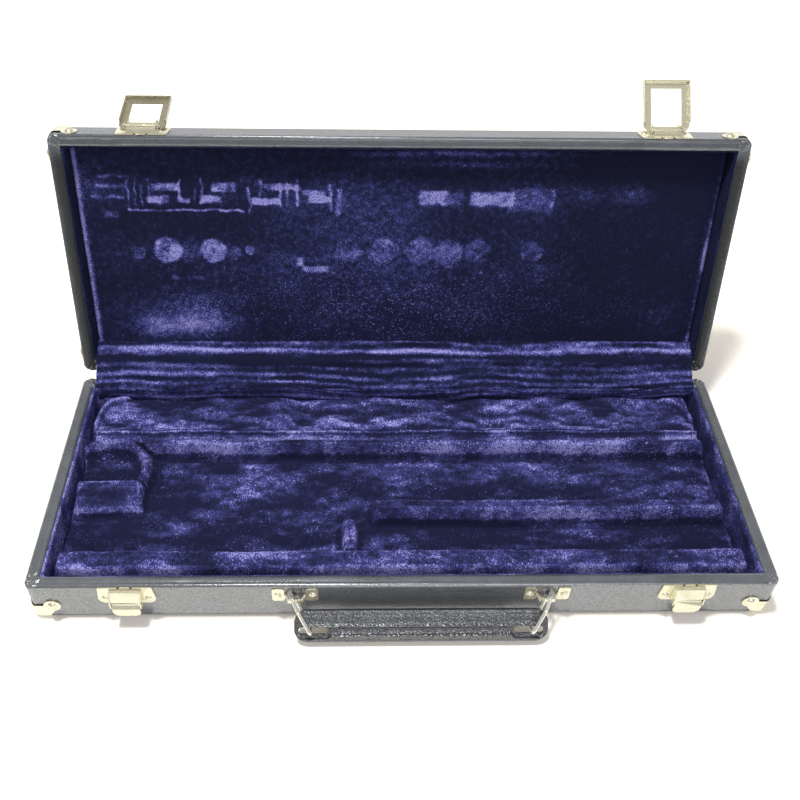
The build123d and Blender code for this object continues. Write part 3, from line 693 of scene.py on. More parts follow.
@dataclass
class Covering:
    """Leathercloth over one tray: tucked inner edge, soft rim, edge bead, walls and flat outside.

    The cloth is gathered in pleats at the corners and sinks under the hinge strip and the corner
    plates. The lid has one slack fold at its left front, between two places along x. Each gather
    is a line on the rim, from one pair of distances from the tray's end and side to another, and
    its height. Each pair in inward is a ring over the flat outside, as shares of the last one's
    x and y.
    """

    half: Half
    finish: bpy.types.Material
    skin: float = 0.7
    weld: float = 0.004
    tuck_inset: float = 8.2
    tuck_drop: float = 2.6
    flat_insets: tuple[float, ...] = (7.5, 11.0, 15.0, 19.0, 23.0, 27.0)
    inward: tuple[tuple[float, float], ...] = (
        (0.97, 0.85), (0.95, 0.6), (0.93, 0.35), (0.92, 0.12), (0.91, 0.0)
    )
    plate_recess: float = 0.3
    plate_reach: tuple[float, float] = (20.0, 25.0)
    strip_recess: float = 1.25
    strip_end: tuple[float, float] = (210.0, 213.0)
    least_cover: float = 0.66
    most_rise: float = 0.05
    wall_rows: int = 9
    bottom_rows: int = 7
    seed: int = 3
    corner_dip: float = 0.35
    wobble: float = 0.06
    wobble_steps: tuple[float, float] = (26.0, 3.0)
    # Step of the wobble in the upper edge of the painted shade at the base's foot.
    shade_edge_step: float = 9.0
    fold: tuple[float, float] = (-216.0, -172.0)
    fold_ridge: float = 0.3
    fold_valley: float = 0.6
    pleat_gain: float = 1.5
    pleat_width: float = 0.45
    gathers: tuple[tuple[float, float, float, float, float], ...] = (
        (0.6, 0.5, 5.2, 6.0, 0.3),
        (2.4, 0.2, 5.6, 5.4, -0.35),
        (4.8, 0.1, 7.8, 7.6, 0.3),
        (0.2, 3.6, 6.2, 6.6, 0.22),
        (7.6, 0.4, 8.6, 4.4, -0.2),
        (0.3, 6.4, 6.4, 8.4, -0.2),
    )
    loop: RimLoop = field(default_factory=lambda: RimLoop(CASE.length, CASE.depth, CASE.corner_radius))

    def profile(self) -> Array:
        """Section from the tucked edge over the rim, down the wall and round to the outside.

        Returns:
            Rows of inset and height above the tray's flat outside.
        """
        top = CASE.height(self.half)
        rim = [
            (self.tuck_inset, top - self.tuck_drop),
            (7.85, top - 1.7),
            (7.6, top - 1.05),
            (7.2, top - 0.55),
            (6.5, top - 0.22),
            (5.5, top - 0.08),
            (4.3, top - 0.06),
            (3.2, top - 0.16),
            (2.5, top - 0.2),
            (2.05, top - 0.08),
            (1.7, top - 0.03),
            (1.35, top - 0.08),
            (1.0, top - 0.19),
            (0.7, top - 0.34),
            (0.42, top - 0.56),
            (0.2, top - 0.85),
            (0.06, top - 1.2),
            (0.0, top - 1.7),
            (0.02, top - 2.4),
        ]
        radius = CASE.edge_radius
        walls = [(0.0, h) for h in np.linspace(top - 3.4, radius + 0.6, self.wall_rows)]
        turn = np.radians(np.linspace(0, 90, self.bottom_rows))
        bottom = [(radius - radius * np.cos(a), radius - radius * np.sin(a)) for a in turn]
        flat = [(radius + 1.5, 0.0)] + [(inset, 0.0) for inset in self.flat_insets]
        return np.array(rim + walls + bottom + flat)

    def pleats(self, x: Array, y: Array) -> Array:
        """Height of the pleats where the cloth is gathered round the corners.

        Each pleat is a line on the rim, with a bell-shaped section of its distance from the point.

        Args:
            x: places along the tray.
            y: places across it.

        Returns:
            Heights over the plain rim.
        """
        from_x = CASE.length / 2 - np.abs(x)
        from_y = CASE.depth / 2 - np.abs(y)
        total = np.zeros(np.broadcast(x, y).shape)
        for x0, y0, x1, y1, lift in self.gathers:
            run = np.hypot(x1 - x0, y1 - y0)
            ax, ay = (x1 - x0) / run, (y1 - y0) / run
            at = np.clip((from_x - x0) * ax + (from_y - y0) * ay, 0, run)
            away = np.hypot(from_x - x0 - at * ax, from_y - y0 - at * ay)
            total += self.pleat_gain * lift * bell(away, 0, self.pleat_width)
        return total

    def slack(self, x: Array, y: Array, inset: Array) -> Array:
        """Height of the lid's slack fold.

        A ridge and a valley beside it, both bell curves of the inset, rise and fade along the
        fold by half a sine wave, and the valley swings outwards where the fold is strongest.

        Args:
            x: places along the tray.
            y: places across it.
            inset: the profile's insets, shaped (1, rings).

        Returns:
            Heights over the plain rim, which are none away from the fold.
        """
        start, end = self.fold
        window = np.sin(np.pi * np.clip((x - start) / (end - start), 0, 1))
        window = window * (y < 0) * (inset < self.tuck_inset - 0.3)
        ridge = self.fold_ridge * bell(inset, 6.3, 0.5)
        valley = self.fold_valley * bell(inset, 5.1 - 1.9 * window, 0.6)
        return window * (ridge - valley)

    def heights(self, ring: Array, inset: Array, height: Array) -> tuple[Array, Array]:
        """Lays pleats, corner dips, wobble and fold on the profile, and sinks it under other pieces.

        Args:
            ring: places of the tray's rings, shaped (around, rings, 2).
            inset: the profile's insets, shaped (1, rings).
            height: the profile's heights, shaped (1, rings).

        Returns:
            Heights shaped (around, rings), and how far each point is on the rim, from 0 to 1.
        """
        x, y, top = ring[..., 0], ring[..., 1], CASE.height(self.half)
        on_rim = np.broadcast_to(ease(height, top - 1.6, top - 0.5), x.shape)
        along_step, inset_step = self.wobble_steps
        wobble = Ripple(self.seed)(self.loop.along()[:, None] / along_step, inset / inset_step)
        dip = self.corner_dip * bell(self.loop.corner_shares()[:, None], 0, 0.5)
        heights = height + on_rim * (self.pleats(x, y) - dip + self.wobble * (wobble - 0.8))
        if self.half is Half.LID:
            heights += self.slack(x, y, inset)
        at_rear = ease(y, CASE.inner_y - 1.5, CASE.inner_y) * (1 - ease(np.abs(x), *self.strip_end))
        heights = np.minimum(heights - self.strip_recess * on_rim * at_rear, top + self.most_rise)
        least = top - self.least_cover - self.strip_recess * at_rear
        wood_end = CASE.covering + CASE.wall + 0.3
        over_wood = (height > top / 2) & (inset > CASE.covering) & (inset < wood_end)
        heights = np.where(over_wood, np.maximum(heights, least), heights)
        from_corner = np.maximum(CASE.length / 2 - np.abs(x), CASE.depth / 2 - np.abs(y))
        by_corner = 1 - ease(from_corner, *self.plate_reach)
        heights += self.plate_recess * by_corner * (1 - ease(heights, 0.2, 1.2))
        return heights, on_rim

    def painted_shade(self, ring: Array, inset: Array, heights: Array, on_rim: Array) -> Array:
        """Painted shade on the cloth: uneven along the base's foot, and on the lid's side rims.

        Args:
            ring: places of the tray's rings, shaped (around, rings, 2).
            inset: the profile's insets, shaped (1, rings).
            heights: heights of the points, shaped (around, rings).
            on_rim: how far each point is on the rim, from 0 to 1.

        Returns:
            How dirty each point is, from 0 to 1.
        """
        if self.half is Half.BASE:
            shade_edge = 0.5 + 0.5 * Ripple(self.seed + 7)(self.loop.along()[:, None] / self.shade_edge_step, inset)
            return 0.95 * (1 - ease(heights, 1.2, 3.4 + 0.6 * shade_edge))
        at_sides = ease(np.abs(ring[..., 0]), 209, 212) * ease(ring[..., 1], -76, -66)
        return at_sides * on_rim * (0.5 + 0.5 * ease(inset, 1.5, 5.0))

    def build(self) -> bpy.types.Object:
        """Carries the profile round the tray, then draws its last ring in over the flat outside.

        Returns:
            The finished piece.
        """
        inset, height = self.profile().T[:, None, :]
        ring = self.loop.ring(inset[0])
        heights, on_rim = self.heights(ring, inset, height)
        # Painted shade, which darkens and dulls the cloth at the base's foot and on the lid's side rims.
        painted_shade = self.painted_shade(ring, inset, heights, on_rim)
        points = np.concatenate([ring, heights[..., None]], axis=-1)
        inward = points[:, -1:, :] * np.array([(x_share, y_share, 1.0) for x_share, y_share in self.inward])
        points = np.concatenate([points, inward], axis=1)
        painted_shade = np.concatenate([painted_shade, np.repeat(painted_shade[:, -1:], len(self.inward), axis=1)], axis=1)
        piece = surface(
            f"{self.half.value}_leathercloth",
            CASE.place(points, self.half),
            wrap_u=True,
            flip=self.half is Half.BASE,
            values={"painted_shade": painted_shade},
        )
        close_up(piece, self.weld)
        thicken(piece, self.skin)
        piece.data.materials.append(self.finish)
        if self.half is Half.BASE:
            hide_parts("base_covering", "base_underside_sheet")
        else:
            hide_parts("lid_covering", "lid_top_sheet")
        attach(piece, f"case_{self.half.value}")
        return piece


# ---------------------------------------------------------------- plush


@dataclass
class WallPlush:
    """Plush glued inside a tray's four walls, tucked under the rim's edge."""

    half: Half
    finish: bpy.types.Material
    seed: int = 11
    pile: float = 0.6
    floor_gap: float = 0.2
    wall_gap: float = 0.05
    corner_radius: float = 2.2

    def build(self) -> bpy.types.Object:
        """Carries a closed, bulging section round the inside of the walls.

        The pile is turned by noise along the walls. Painted light makes it paler near the rim and
        on the base's left wall, and painted shade darker all over in the lid.

        Returns:
            The finished piece.
        """
        top, floor = CASE.height(self.half), CASE.floor + self.floor_gap
        back = CASE.covering + CASE.wall + self.wall_gap
        face = back + CASE.lining + self.pile
        section = np.array(
            [
                (back, floor),
                (back, top - 1.9),
                (back + 0.5, top - 1.5),
                (face - 0.5, top - 1.6),
                (face - 0.1, top - 2.2),
                (face + 0.1, top - 3.4),
                (face, top - 5.5),
                (face - 0.1, (top + floor) / 2),
                (face, floor + 1.0),
                (face, floor),
            ]
        )
        loop = RimLoop(CASE.length, CASE.depth, CASE.corner_radius, least_radius=self.corner_radius)
        ring = loop.ring(section[:, 0])
        heights = np.broadcast_to(section[:, 1], ring.shape[:2])
        along = loop.along()[:, None]
        noise = Ripple(self.seed)(along / 14.0, heights / 9.0)
        # Noise turns the pile; a painted highlight pales it just under the rim.
        lay_and_light = 0.4 + 0.3 * noise + 0.2 * bell(heights, top - 3.0, 1.4)
        if self.half is Half.LID:
            # Painted shade: the lid's walls darker all over.
            lay_and_light = 0.4 * lay_and_light - 0.1
        else:
            # Painted light: the base's left wall, which faces the light, paler.
            lay_and_light = lay_and_light + 0.3 * (1 - ease(ring[..., 0], -209, -205))
        points = np.concatenate([ring, heights[..., None]], axis=-1)
        piece = surface(
            f"{self.half.value}_wall_plush",
            CASE.place(points, self.half),
            wrap_u=True,
            wrap_v=True,
            flip=self.half is Half.LID,
            values={"lay_and_light": lay_and_light},
        )
        piece.data.materials.append(self.finish)
        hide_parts(f"{self.half.value}_wall_lining")
        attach(piece, f"case_{self.half.value}")
        return piece


@dataclass(frozen=True)
class Block:
    """One raised part of the insert: its sides, its top and how round it is.

    Round is its corners' radius and crown how far its middle stands over its edge. Soft and
    spread are how far inside and outside its outline the edge falls, and lean is how far the
    top falls to the front.
    """

    left: float
    right: float
    front: float
    rear: float
    top: float
    round: float = 4.0
    crown: float = 1.0
    soft: float = 3.2
    lean: float = 0.0
    spread: float = 1.6

    def height(self, x: Array, y: Array, bed: float) -> Array:
        """Height of the block over the plane.

        The distance to a rounded rectangle is eased from the top inside to the bed outside, and
        the top is crowned by a parabola of the distance from its edge. A leaning top falls evenly
        to the front.

        Args:
            x: places along the base.
            y: places across it.
            bed: height of the insert's bed.

        Returns:
            Heights above the base's flat outside.
        """
        mid_x, mid_y = (self.left + self.right) / 2, (self.front + self.rear) / 2
        far_x = np.abs(x - mid_x) - (self.right - self.left) / 2 + self.round
        far_y = np.abs(y - mid_y) - (self.rear - self.front) / 2 + self.round
        outside = np.hypot(np.maximum(far_x, 0), np.maximum(far_y, 0))
        distance = outside + np.minimum(np.maximum(far_x, far_y), 0) - self.round
        share = 1 - ease(distance, -self.soft, self.spread)
        half = min(self.right - self.left, self.rear - self.front) / 2
        pillow = self.crown * (1 - np.clip(1 + distance / half, 0, 1) ** 2)
        fall = self.lean * np.clip((self.rear - y) / (self.rear - self.front), 0, 1)
        return bed + (self.top - bed - fall + pillow) * share


@dataclass(frozen=True)
class Arch:
    """One curved ridge of the insert, along part of a circle round x, y.

    It runs from the start angle to the end angle, and fades over a few degrees outside and
    inside of each.
    """

    x: float
    y: float
    radius: float
    start: float
    end: float
    top: float
    half_width: float = 3.4
    fade_outside: float = 8.0
    fade_inside: float = 6.0

    def height(self, x: Array, y: Array, bed: float) -> Array:
        """Height of the ridge: a bell curve of the distance from the arc, faded at its ends.

        Args:
            x: places along the base.
            y: places across it.
            bed: height of the insert's bed.

        Returns:
            Heights above the base's flat outside.
        """
        across = np.abs(np.hypot(x - self.x, y - self.y) - self.radius)
        angle = np.degrees(np.arctan2(y - self.y, x - self.x)) % 360
        before = 60
        turned = (angle - self.start + before) % 360 + self.start - before
        begun = ease(turned, self.start - self.fade_outside, self.start + self.fade_inside)
        ended = ease(turned, self.end - self.fade_inside, self.end + self.fade_outside)
        within = begun * (1 - ended)
        return bed + (self.top - bed) * within * bell(across, 0, self.half_width)


@dataclass
class InsertPlush:
    """Plush over the shaped insert of the base: rails, ridges, lanes and a rear shelf.

    Each run is an end along the length and the number of steps that lead to it.
    """

    finish: bpy.types.Material
    bed: float = 11.0
    edge_height: float = 4.2
    least_height: float = 8.0
    reach_x: float = 210.2
    reach_y: float = 74.7
    runs: tuple[tuple[float, int], ...] = (
        (-204.0, 14), (-160.0, 50), (-50.0, 58), (-10.0, 46), (170.0, 92), (210.2, 33)
    )
    rows: int = 300
    blend: float = 1.1
    seed: int = 5
    forms: tuple[Block | Arch, ...] = (
        Block(-210.5, 210.5, -72.5, -52, 27.0, 6.0, 1.6, 5.0),
        Block(-20, 208.5, -29, -14, 26.2, 5.0, 1.0, 5.0),
        Block(-39, -27, -56, -29, 26.0, 3.5, 0.8),
        Block(-172, 208.5, 25, 35.2, 25.8, 3.5, 1.0, 4.0),
        Block(-210.5, -164.5, -22, 2.5, 25.8, 5.0, 0.6, 4.0, 9.0),
        Block(-208.5, 208.5, 35, 80, 20.6, 4.0, 0.8),
        Block(-208.5, 208.5, 41, 46, 23.0, 2.0, 0.5),
        Arch(-191.5, 10.0, 24.5, -26.0, 150.0, 25.0, 3.4),
        Arch(-186.0, 52.0, 22.0, 92.0, 190.0, 24.5, 2.2),
        Arch(186.0, 52.0, 20.0, 0.0, 88.0, 24.0, 2.2),
    )

    def columns(self) -> Array:
        """Places along the length, in even steps within each run.

        Returns:
            The places, from one end of the cloth to the other.
        """
        starts = [-self.reach_x, *(end for end, _ in self.runs)]
        parts = [
            np.linspace(start, end, steps, endpoint=False)
            for start, (end, steps) in zip(starts, self.runs)
        ]
        return np.concatenate([*parts, [self.reach_x]])

    def drape(self, x: Array, y: Array, edge: Array) -> Array:
        """Height of one cloth over all the forms.

        It is a soft maximum of the forms' heights, which is a logarithm of a sum of exponentials.
        Slow noise moves the edges and swells the shelf. The last ring of points drops to the
        bed's underside, so that the edge is closed to below the walls' plush.

        Args:
            x: places along the length.
            y: places along the depth.
            edge: distances in from the cloth's edge.

        Returns:
            Heights above the base's flat outside.
        """
        drift, swell = Ripple(self.seed), Ripple(self.seed + 1, layers=2)
        moved_x = x + 0.8 * drift(x / 19.0, y / 19.0)
        moved_y = y + 0.9 * drift(x / 27.0 + 40, y / 40.0)
        rise = np.stack([form.height(moved_x, moved_y, self.bed) for form in self.forms]) - self.bed
        height = self.blend * np.log(np.exp(rise / self.blend).sum(axis=0))
        height += self.bed - self.blend * np.log(len(self.forms)) * np.exp(-height / 4)
        height += 2.6 * ease(y, 45, 52) * swell(x / 21.0, y / 13.0)
        height += 0.5 * swell(x / 14.0 + 9, y / 9.0)
        return np.where(edge < 0.01, self.edge_height, np.maximum(height, self.least_height))

    def build(self) -> bpy.types.Object:
        """Drapes the cloth, turns its pile by noise and paints light and shade by height, slope, sharp
        edges.

        Returns:
            The finished piece.
        """
        x, y = self.columns(), np.linspace(-self.reach_y, self.reach_y, self.rows)
        grid_x, grid_y = np.meshgrid(x, y, indexing="ij")
        edge = np.minimum(self.reach_x - np.abs(grid_x), self.reach_y - np.abs(grid_y))
        height = self.drape(grid_x, grid_y, edge)
        slope_x, slope_y = np.gradient(height, x, y)
        crush = Ripple(self.seed + 2, layers=2)
        lay_and_light = 0.35 + 0.34 * crush(grid_x / 24.0, grid_y / 10.0) + 0.12 * crush(grid_x / 6.0, grid_y / 3.0)
        # Painted shade in the hollow at the insert's left end.
        lay_and_light -= 0.25 * bell(np.hypot(grid_x + 192, (grid_y - 14) * 1.5), 0, 11)
        # Painted light on slopes that face the front, and painted shade low down between ridges.
        lay_and_light += 0.1 * np.clip(slope_y, -1.2, 1.2) - 0.14 * (1 - ease(height, 11.0, 18.0))
        # Painted shade along the cloth's edge at the walls and in the crease behind the front rail.
        lay_and_light -= 0.2 * (1 - ease(edge, 0.4, 2.6)) + 0.15 * bell(grid_y, -51.0, 1.4)
        # Painted highlights on rounded tops and painted shade in hollows.
        curved = np.gradient(slope_y, y, axis=1) + np.gradient(slope_x, x, axis=0)
        lay_and_light += 1.4 * np.clip(-curved, -0.2, 0.14)
        spark = 0.5 + 0.4 * crush(grid_x / 11.0 + 50, grid_y / 9.0)
        points = np.stack([grid_x, grid_y, height], axis=-1)
        piece = surface("insert_plush", points, values={"lay_and_light": lay_and_light, "spark": spark})
        piece.data.materials.append(self.finish)
        nodes = ("bed", "front_rail", "middle_rail", "divider", "rod_ridge", "left_ridge")
        more = ("left_end_ridge", "rear_shelf", "rod_lip")
        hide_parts(*[f"insert_{n}" for n in nodes + more])
        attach(piece, "case_base")
        return piece


class Press(Enum):
    """Shapes of mark that hard things leave in a pile."""

    DISC = "disc"
    BAR = "bar"
    SMUDGE = "smudge"


@dataclass(frozen=True)
class PressMark:
    """One soft mark on the lid's panel: its place from the middle and from the hinge line.

    Wide and high are half sizes, or a smudge's widths of bell curve, and lift is its strength.
    """

    press: Press
    x: float
    far: float
    wide: float
    high: float
    lift: float

    def lay_and_light(self, x: Array, far: Array) -> Array:
        """How much the mark turns the pile.

        A disc is filled, with two paler rings. A bar is a box with eased sides. A smudge
        is a two-way bell curve.

        Args:
            x: places along the panel.
            far: distances from the hinge line.

        Returns:
            What the mark adds to the pile's lean.
        """
        a, b = (x - self.x) / self.wide, (far - self.far) / self.high
        if self.press is Press.DISC:
            radius = np.hypot(a, b)
            rings = 0.5 * bell(radius, 0.88, 0.12) + 0.35 * bell(radius, 0.42, 0.12)
            return self.lift * (0.6 * (1 - ease(radius, 0.65, 1.2)) + rings)
        if self.press is Press.BAR:
            soft_a, soft_b = min(0.95, 1.3 / self.wide), min(0.95, 1.1 / self.high)
            within_a = 1 - ease(np.abs(a), 1 - soft_a, 1 + soft_a)
            within_b = 1 - ease(np.abs(b), 1 - soft_b, 1 + soft_b)
            return self.lift * within_a * within_b
        return self.lift * np.exp(-0.5 * (a**2 + b**2))


@dataclass
class PanelPlush:
    """Plush over the lid's padded panel, with the soft marks that keys have pressed into it.

    Each mark is its middle's x, its distance from the hinge line, its half sizes and its
    strength. A disc has one size, its radius. Face is the panel's height over the lid's flat
    outside.
    """

    finish: bpy.types.Material
    face: float = 8.8
    edge_roll: float = 2.4
    edge_height: float = 4.0
    reach_x: float = 211.4
    reach_y: float = 75.4
    columns: int = 480
    rows: int = 200
    seed: int = 21
    discs: tuple[tuple[float, float, float, float], ...] = (
        (-175, 88, 5, 0.3), (-155, 90, 9, 0.62), (-141, 88, 7, 0.26), (-125, 90, 8.5, 0.6),
        (-111, 88, 5, 0.2), (-100, 90, 3.5, 0.4), (-35, 90, 8, 0.2), (-11, 90, 9, 0.24),
        (14, 90, 9.5, 0.26), (33, 89, 9.5, 0.3), (53, 90, 9, 0.26), (90, 90, 7.5, 0.36),
        (97, 74, 6, 0.12),
    )
    bars: tuple[tuple[float, float, float, float, float], ...] = (
        (-140, 118, 37, 0.7, 0.5), (-158, 125.5, 6.5, 2.4, 0.55), (-141, 125, 4, 2.0, 0.45),
        (-124, 125.5, 6.5, 2.6, 0.55), (-89, 124.5, 9, 2.0, 0.55), (-54, 126, 7, 2.2, 0.5),
        (-152, 134, 9, 2.6, 0.42), (-115, 134, 7.5, 3.4, 0.5), (-77, 134, 12, 2.0, 0.42),
        (-57, 130, 7, 1.6, 0.3), (-188, 134, 9, 1.2, 0.3), (-190, 127, 10, 0.9, 0.3),
        (-186, 141, 10, 1.0, 0.2), (-190, 115, 5, 2.5, 0.25), (-177, 129, 0.7, 12, 0.35),
        (-172, 131, 0.7, 9, 0.35), (-168, 128, 0.7, 8, 0.25), (-163, 134, 0.7, 6, 0.3),
        (-143, 133, 0.8, 7, 0.4), (-134, 129, 0.7, 4, 0.3), (-129, 134, 0.7, 6, 0.3),
        (-99, 124, 0.8, 10, 0.42), (-91, 134, 0.8, 5, 0.4), (-79, 128, 0.7, 8, 0.35),
        (-74, 129, 0.7, 8, 0.3), (-67, 131, 0.8, 9, 0.45), (-46, 127, 0.8, 9, 0.4),
        (-40, 124, 1.4, 9, 0.25), (-67, 82, 2.4, 3.5, 0.6), (-56, 76.5, 9, 2.2, 0.42),
        (22, 127.5, 9, 4.6, 0.45), (36, 127, 5, 4.0, 0.12), (60, 127, 14, 4.8, 0.36),
        (86, 126, 15, 8, 0.1), (100, 128, 1.0, 6, 0.25), (-152, 70, 3, 2, 0.25),
        (-138, 70, 6, 1.2, 0.2),
    )
    smudges: tuple[tuple[float, float, float, float, float], ...] = (
        (28, 128, 14, 5, 0.14), (62, 127, 17, 6, 0.16), (92, 125, 12, 8, 0.1),
        (121, 130, 7, 5, 0.2), (152, 131, 10, 6, 0.3), (-172, 33, 8, 5.5, 0.32),
        (-150, 31, 21, 5.5, 0.42), (-138, 38, 16, 6, 0.3), (-150, 47, 22, 8, 0.2),
        (-134, 57, 16, 6, 0.16), (-30, 95, 55, 30, 0.2), (20, 70, 45, 22, 0.1),
        (40, 157, 55, 1.6, 0.3), (45, 150, 45, 1.6, 0.18), (-200, 138, 9, 8, 0.2),
        (185, 40, 12, 10, 0.12), (209, 88, 1.6, 8, 0.4),
    )

    def marks(self) -> list[PressMark]:
        """All the marks, from the three tables of place, size and strength.

        Returns:
            The discs, then the bars, then the smudges.
        """
        discs = [PressMark(Press.DISC, x, far, size, size, lift) for x, far, size, lift in self.discs]
        bars = [PressMark(Press.BAR, *row) for row in self.bars]
        return discs + bars + [PressMark(Press.SMUDGE, *row) for row in self.smudges]

    def pressed(self, x: Array, y: Array) -> Array:
        """Sum of the marks, with their edges moved and their strength broken up by noise.

        Args:
            x: places along the panel.
            y: places across it.

        Returns:
            How much the marks turn the pile.
        """
        far = CASE.hinge_y - y
        moved_x = x + 0.9 * Ripple(self.seed + 2, layers=2)(x / 6.0, y / 6.0)
        moved_far = far + 0.6 * Ripple(self.seed + 3, layers=2)(x / 6.0, y / 6.0)
        crush = Ripple(self.seed + 1, layers=4)
        uneven = {
            Press.DISC: 1.1 + 0.6 * crush(x / 6, y / 5),
            Press.BAR: 1.1 + 0.7 * crush(x / 5, y / 5),
            Press.SMUDGE: 1.1 + 0.35 * crush(x / 9, y / 6),
        }
        return sum(mark.lay_and_light(moved_x, moved_far) * uneven[mark.press] for mark in self.marks())

    def build(self) -> bpy.types.Object:
        """Swells the panel, rolls its edges down to the walls and sinks the marks a little.

        Returns:
            The finished piece.
        """
        x = np.linspace(-self.reach_x, self.reach_x, self.columns)
        y = np.linspace(-self.reach_y, self.reach_y, self.rows)
        grid_x, grid_y = np.meshgrid(x, y, indexing="ij")
        far = CASE.hinge_y - grid_y
        edge = np.minimum(self.reach_x - np.abs(grid_x), self.reach_y - np.abs(grid_y))
        swell, crush = Ripple(self.seed), Ripple(self.seed + 1, layers=4)
        pressed = self.pressed(grid_x, grid_y)
        sunk = np.clip(pressed, 0, 1)
        rolled = self.edge_roll * (1 - ease(edge, 0, 3.0))
        height = self.face - rolled + 0.35 * swell(grid_x / 40, grid_y / 25) - 0.3 * sunk
        height = np.where(edge < 0.01, self.edge_height, height)
        lay_and_light = 0.08 + 0.1 * crush(grid_x / 45.0, grid_y / 22.0)
        # The key marks turn the pile; away from them, painted shade darkens the panel's right part.
        lay_and_light += pressed * (1 + 0.35 * ease(far, 105, 115)) - 0.12 * ease(grid_x, 60, 190) * (1 - sunk)
        # Painted highlights along the panel's rolled side edges, stronger on the left.
        right_ridge = 0.3 + 0.6 * bell(far, 88, 12) + 0.25 * (1 - ease(far, 30, 50))
        ridge = np.where(grid_x < 0, 0.85, right_ridge) + 0.2 * crush(far / 8.0, grid_x / 50.0)
        lay_and_light += ridge * bell(np.abs(grid_x), self.reach_x - 2.6, 1.5)
        spark = 0.2 + 0.75 * bell(far, 46.0, 27.0) * bell(grid_x, 5.0, 105.0)
        spark += 0.15 * crush(grid_x / 20, grid_y / 12)
        spark *= 1 - 0.8 * ease(far, 138, 144)
        points = np.stack([grid_x, grid_y, height], axis=-1)
        piece = surface(
            "lid_panel_plush", CASE.place(points, Half.LID), flip=True, values={"lay_and_light": lay_and_light, "spark": spark}
        )
        piece.data.materials.append(self.finish)
        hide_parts("lid_padded_panel")
        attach(piece, "case_lid")
        return piece


@dataclass
class HingeFlap:
    """Plush strip that covers both rear rims and the gap between them, in soft folds.

    Its path is given as y and height above each tray's flat outside.
    """

    finish: bpy.types.Material
    half_length: float = 211.0
    columns: int = 440
    rows: int = 110
    seed: int = 31
    thickness: float = 0.9
    over_knuckles: float = 4.4
    wave_step: float = 6.4
    wave_height: float = 0.9
    held_on_rims: float = 0.7
    base_path: tuple[tuple[float, float], ...] = (
        (74.7, 20.5), (74.8, 25.0), (75.0, 29.5), (75.2, 31.6), (75.9, 33.1), (77.4, 33.65),
        (79.5, 33.65), (81.4, 33.6),
    )
    lid_path: tuple[tuple[float, float], ...] = (
        (81.4, 20.6), (79.5, 20.6), (77.4, 20.5), (75.8, 19.7), (74.2, 17.6), (72.4, 14.9),
        (70.4, 12.2), (68.0, 10.0), (65.5, 8.7),
    )

    def section(self) -> Array:
        """Path of the strip's face across the hinge, as y and z in the case's frame.

        It bows over the hinges' knuckles on an arc of a circle about the hinge line.

        Returns:
            Places shaped (points, 2), from the base's end of the strip to the lid's.
        """
        turn = np.radians(np.linspace(165, 90, 7))
        bow_y = CASE.hinge_y + self.over_knuckles * np.cos(turn)
        bow_z = CASE.split + self.over_knuckles * np.sin(turn)
        lid = np.array([(0.0, y, h) for y, h in self.lid_path])
        bow = np.stack([bow_y, bow_z], axis=-1)
        return np.concatenate([np.array(self.base_path), bow, CASE.place(lid, Half.LID)[:, 1:]])

    def build(self) -> bpy.types.Object:
        """Runs the smoothed path along the hinge, lifted by waves whose crests lie along it.

        The lift is a sine of the distance over the path, drifting and fading by noise. It is
        less over the rims and none at the strip's edges.

        Returns:
            The finished piece.
        """
        path = self.section()
        step = np.concatenate([[0], np.cumsum(np.linalg.norm(np.diff(path, axis=0), axis=1))])
        at = np.linspace(0, step[-1], self.rows)
        y, z = np.interp(at, step, path[:, 0]), np.interp(at, step, path[:, 1])
        smooth = np.array([1, 4, 6, 4, 1]) / 16
        for _ in range(2):
            y[2:-2] = np.convolve(y, smooth, "valid")
            z[2:-2] = np.convolve(z, smooth, "valid")
        out_y, out_z = -np.gradient(z, at), np.gradient(y, at)
        x = np.linspace(-self.half_length, self.half_length, self.columns)
        grid_x, grid_s = np.meshgrid(x, at, indexing="ij")
        drift = Ripple(self.seed)(grid_x / 70.0, grid_s / 60.0)
        strength = 0.55 + 0.45 * Ripple(self.seed + 1)(grid_x / 60.0, grid_s / 9.0)
        wave = np.sin(2 * np.pi * (grid_s / self.wave_step + 0.6 * drift)) * strength
        rims = ease(grid_s, 7, 10) * (1 - ease(grid_s, 31, 35))
        held = ease(grid_s, 0, 5) * (1 - ease(grid_s, step[-1] - 4, step[-1]))
        lift = (self.wave_height - self.held_on_rims * rims) * wave * held
        points = np.stack([grid_x, y + out_y * lift, z + out_z * lift], axis=-1)
        crush = Ripple(self.seed + 2, layers=2)
        # Painted light on the folds: paler on their crests, darker in their hollows.
        lay_and_light = 0.27 + 0.42 * wave
        lay_and_light += 0.26 * crush(grid_x / 34.0, grid_s / 6.0) + 0.12 * crush(grid_x / 6.0, grid_s / 3.0)
        # A painted highlight band and a painted shade band near the lid's end of the strip.
        lay_and_light += 0.4 * bell(grid_s, step[-1] - 7, 2.6) - 0.4 * bell(grid_s, step[-1] - 13, 2.2)
        spark = np.full(lay_and_light.shape, 0.3)
        piece = surface("hinge_flap_plush", points, values={"lay_and_light": lay_and_light, "spark": spark})
        thicken(piece, self.thickness)
        piece.data.materials.append(self.finish)
        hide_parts("base_hinge_flap", "lid_hinge_flap")
        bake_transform(piece)
        return piece


# ---------------------------------------------------------------- handle


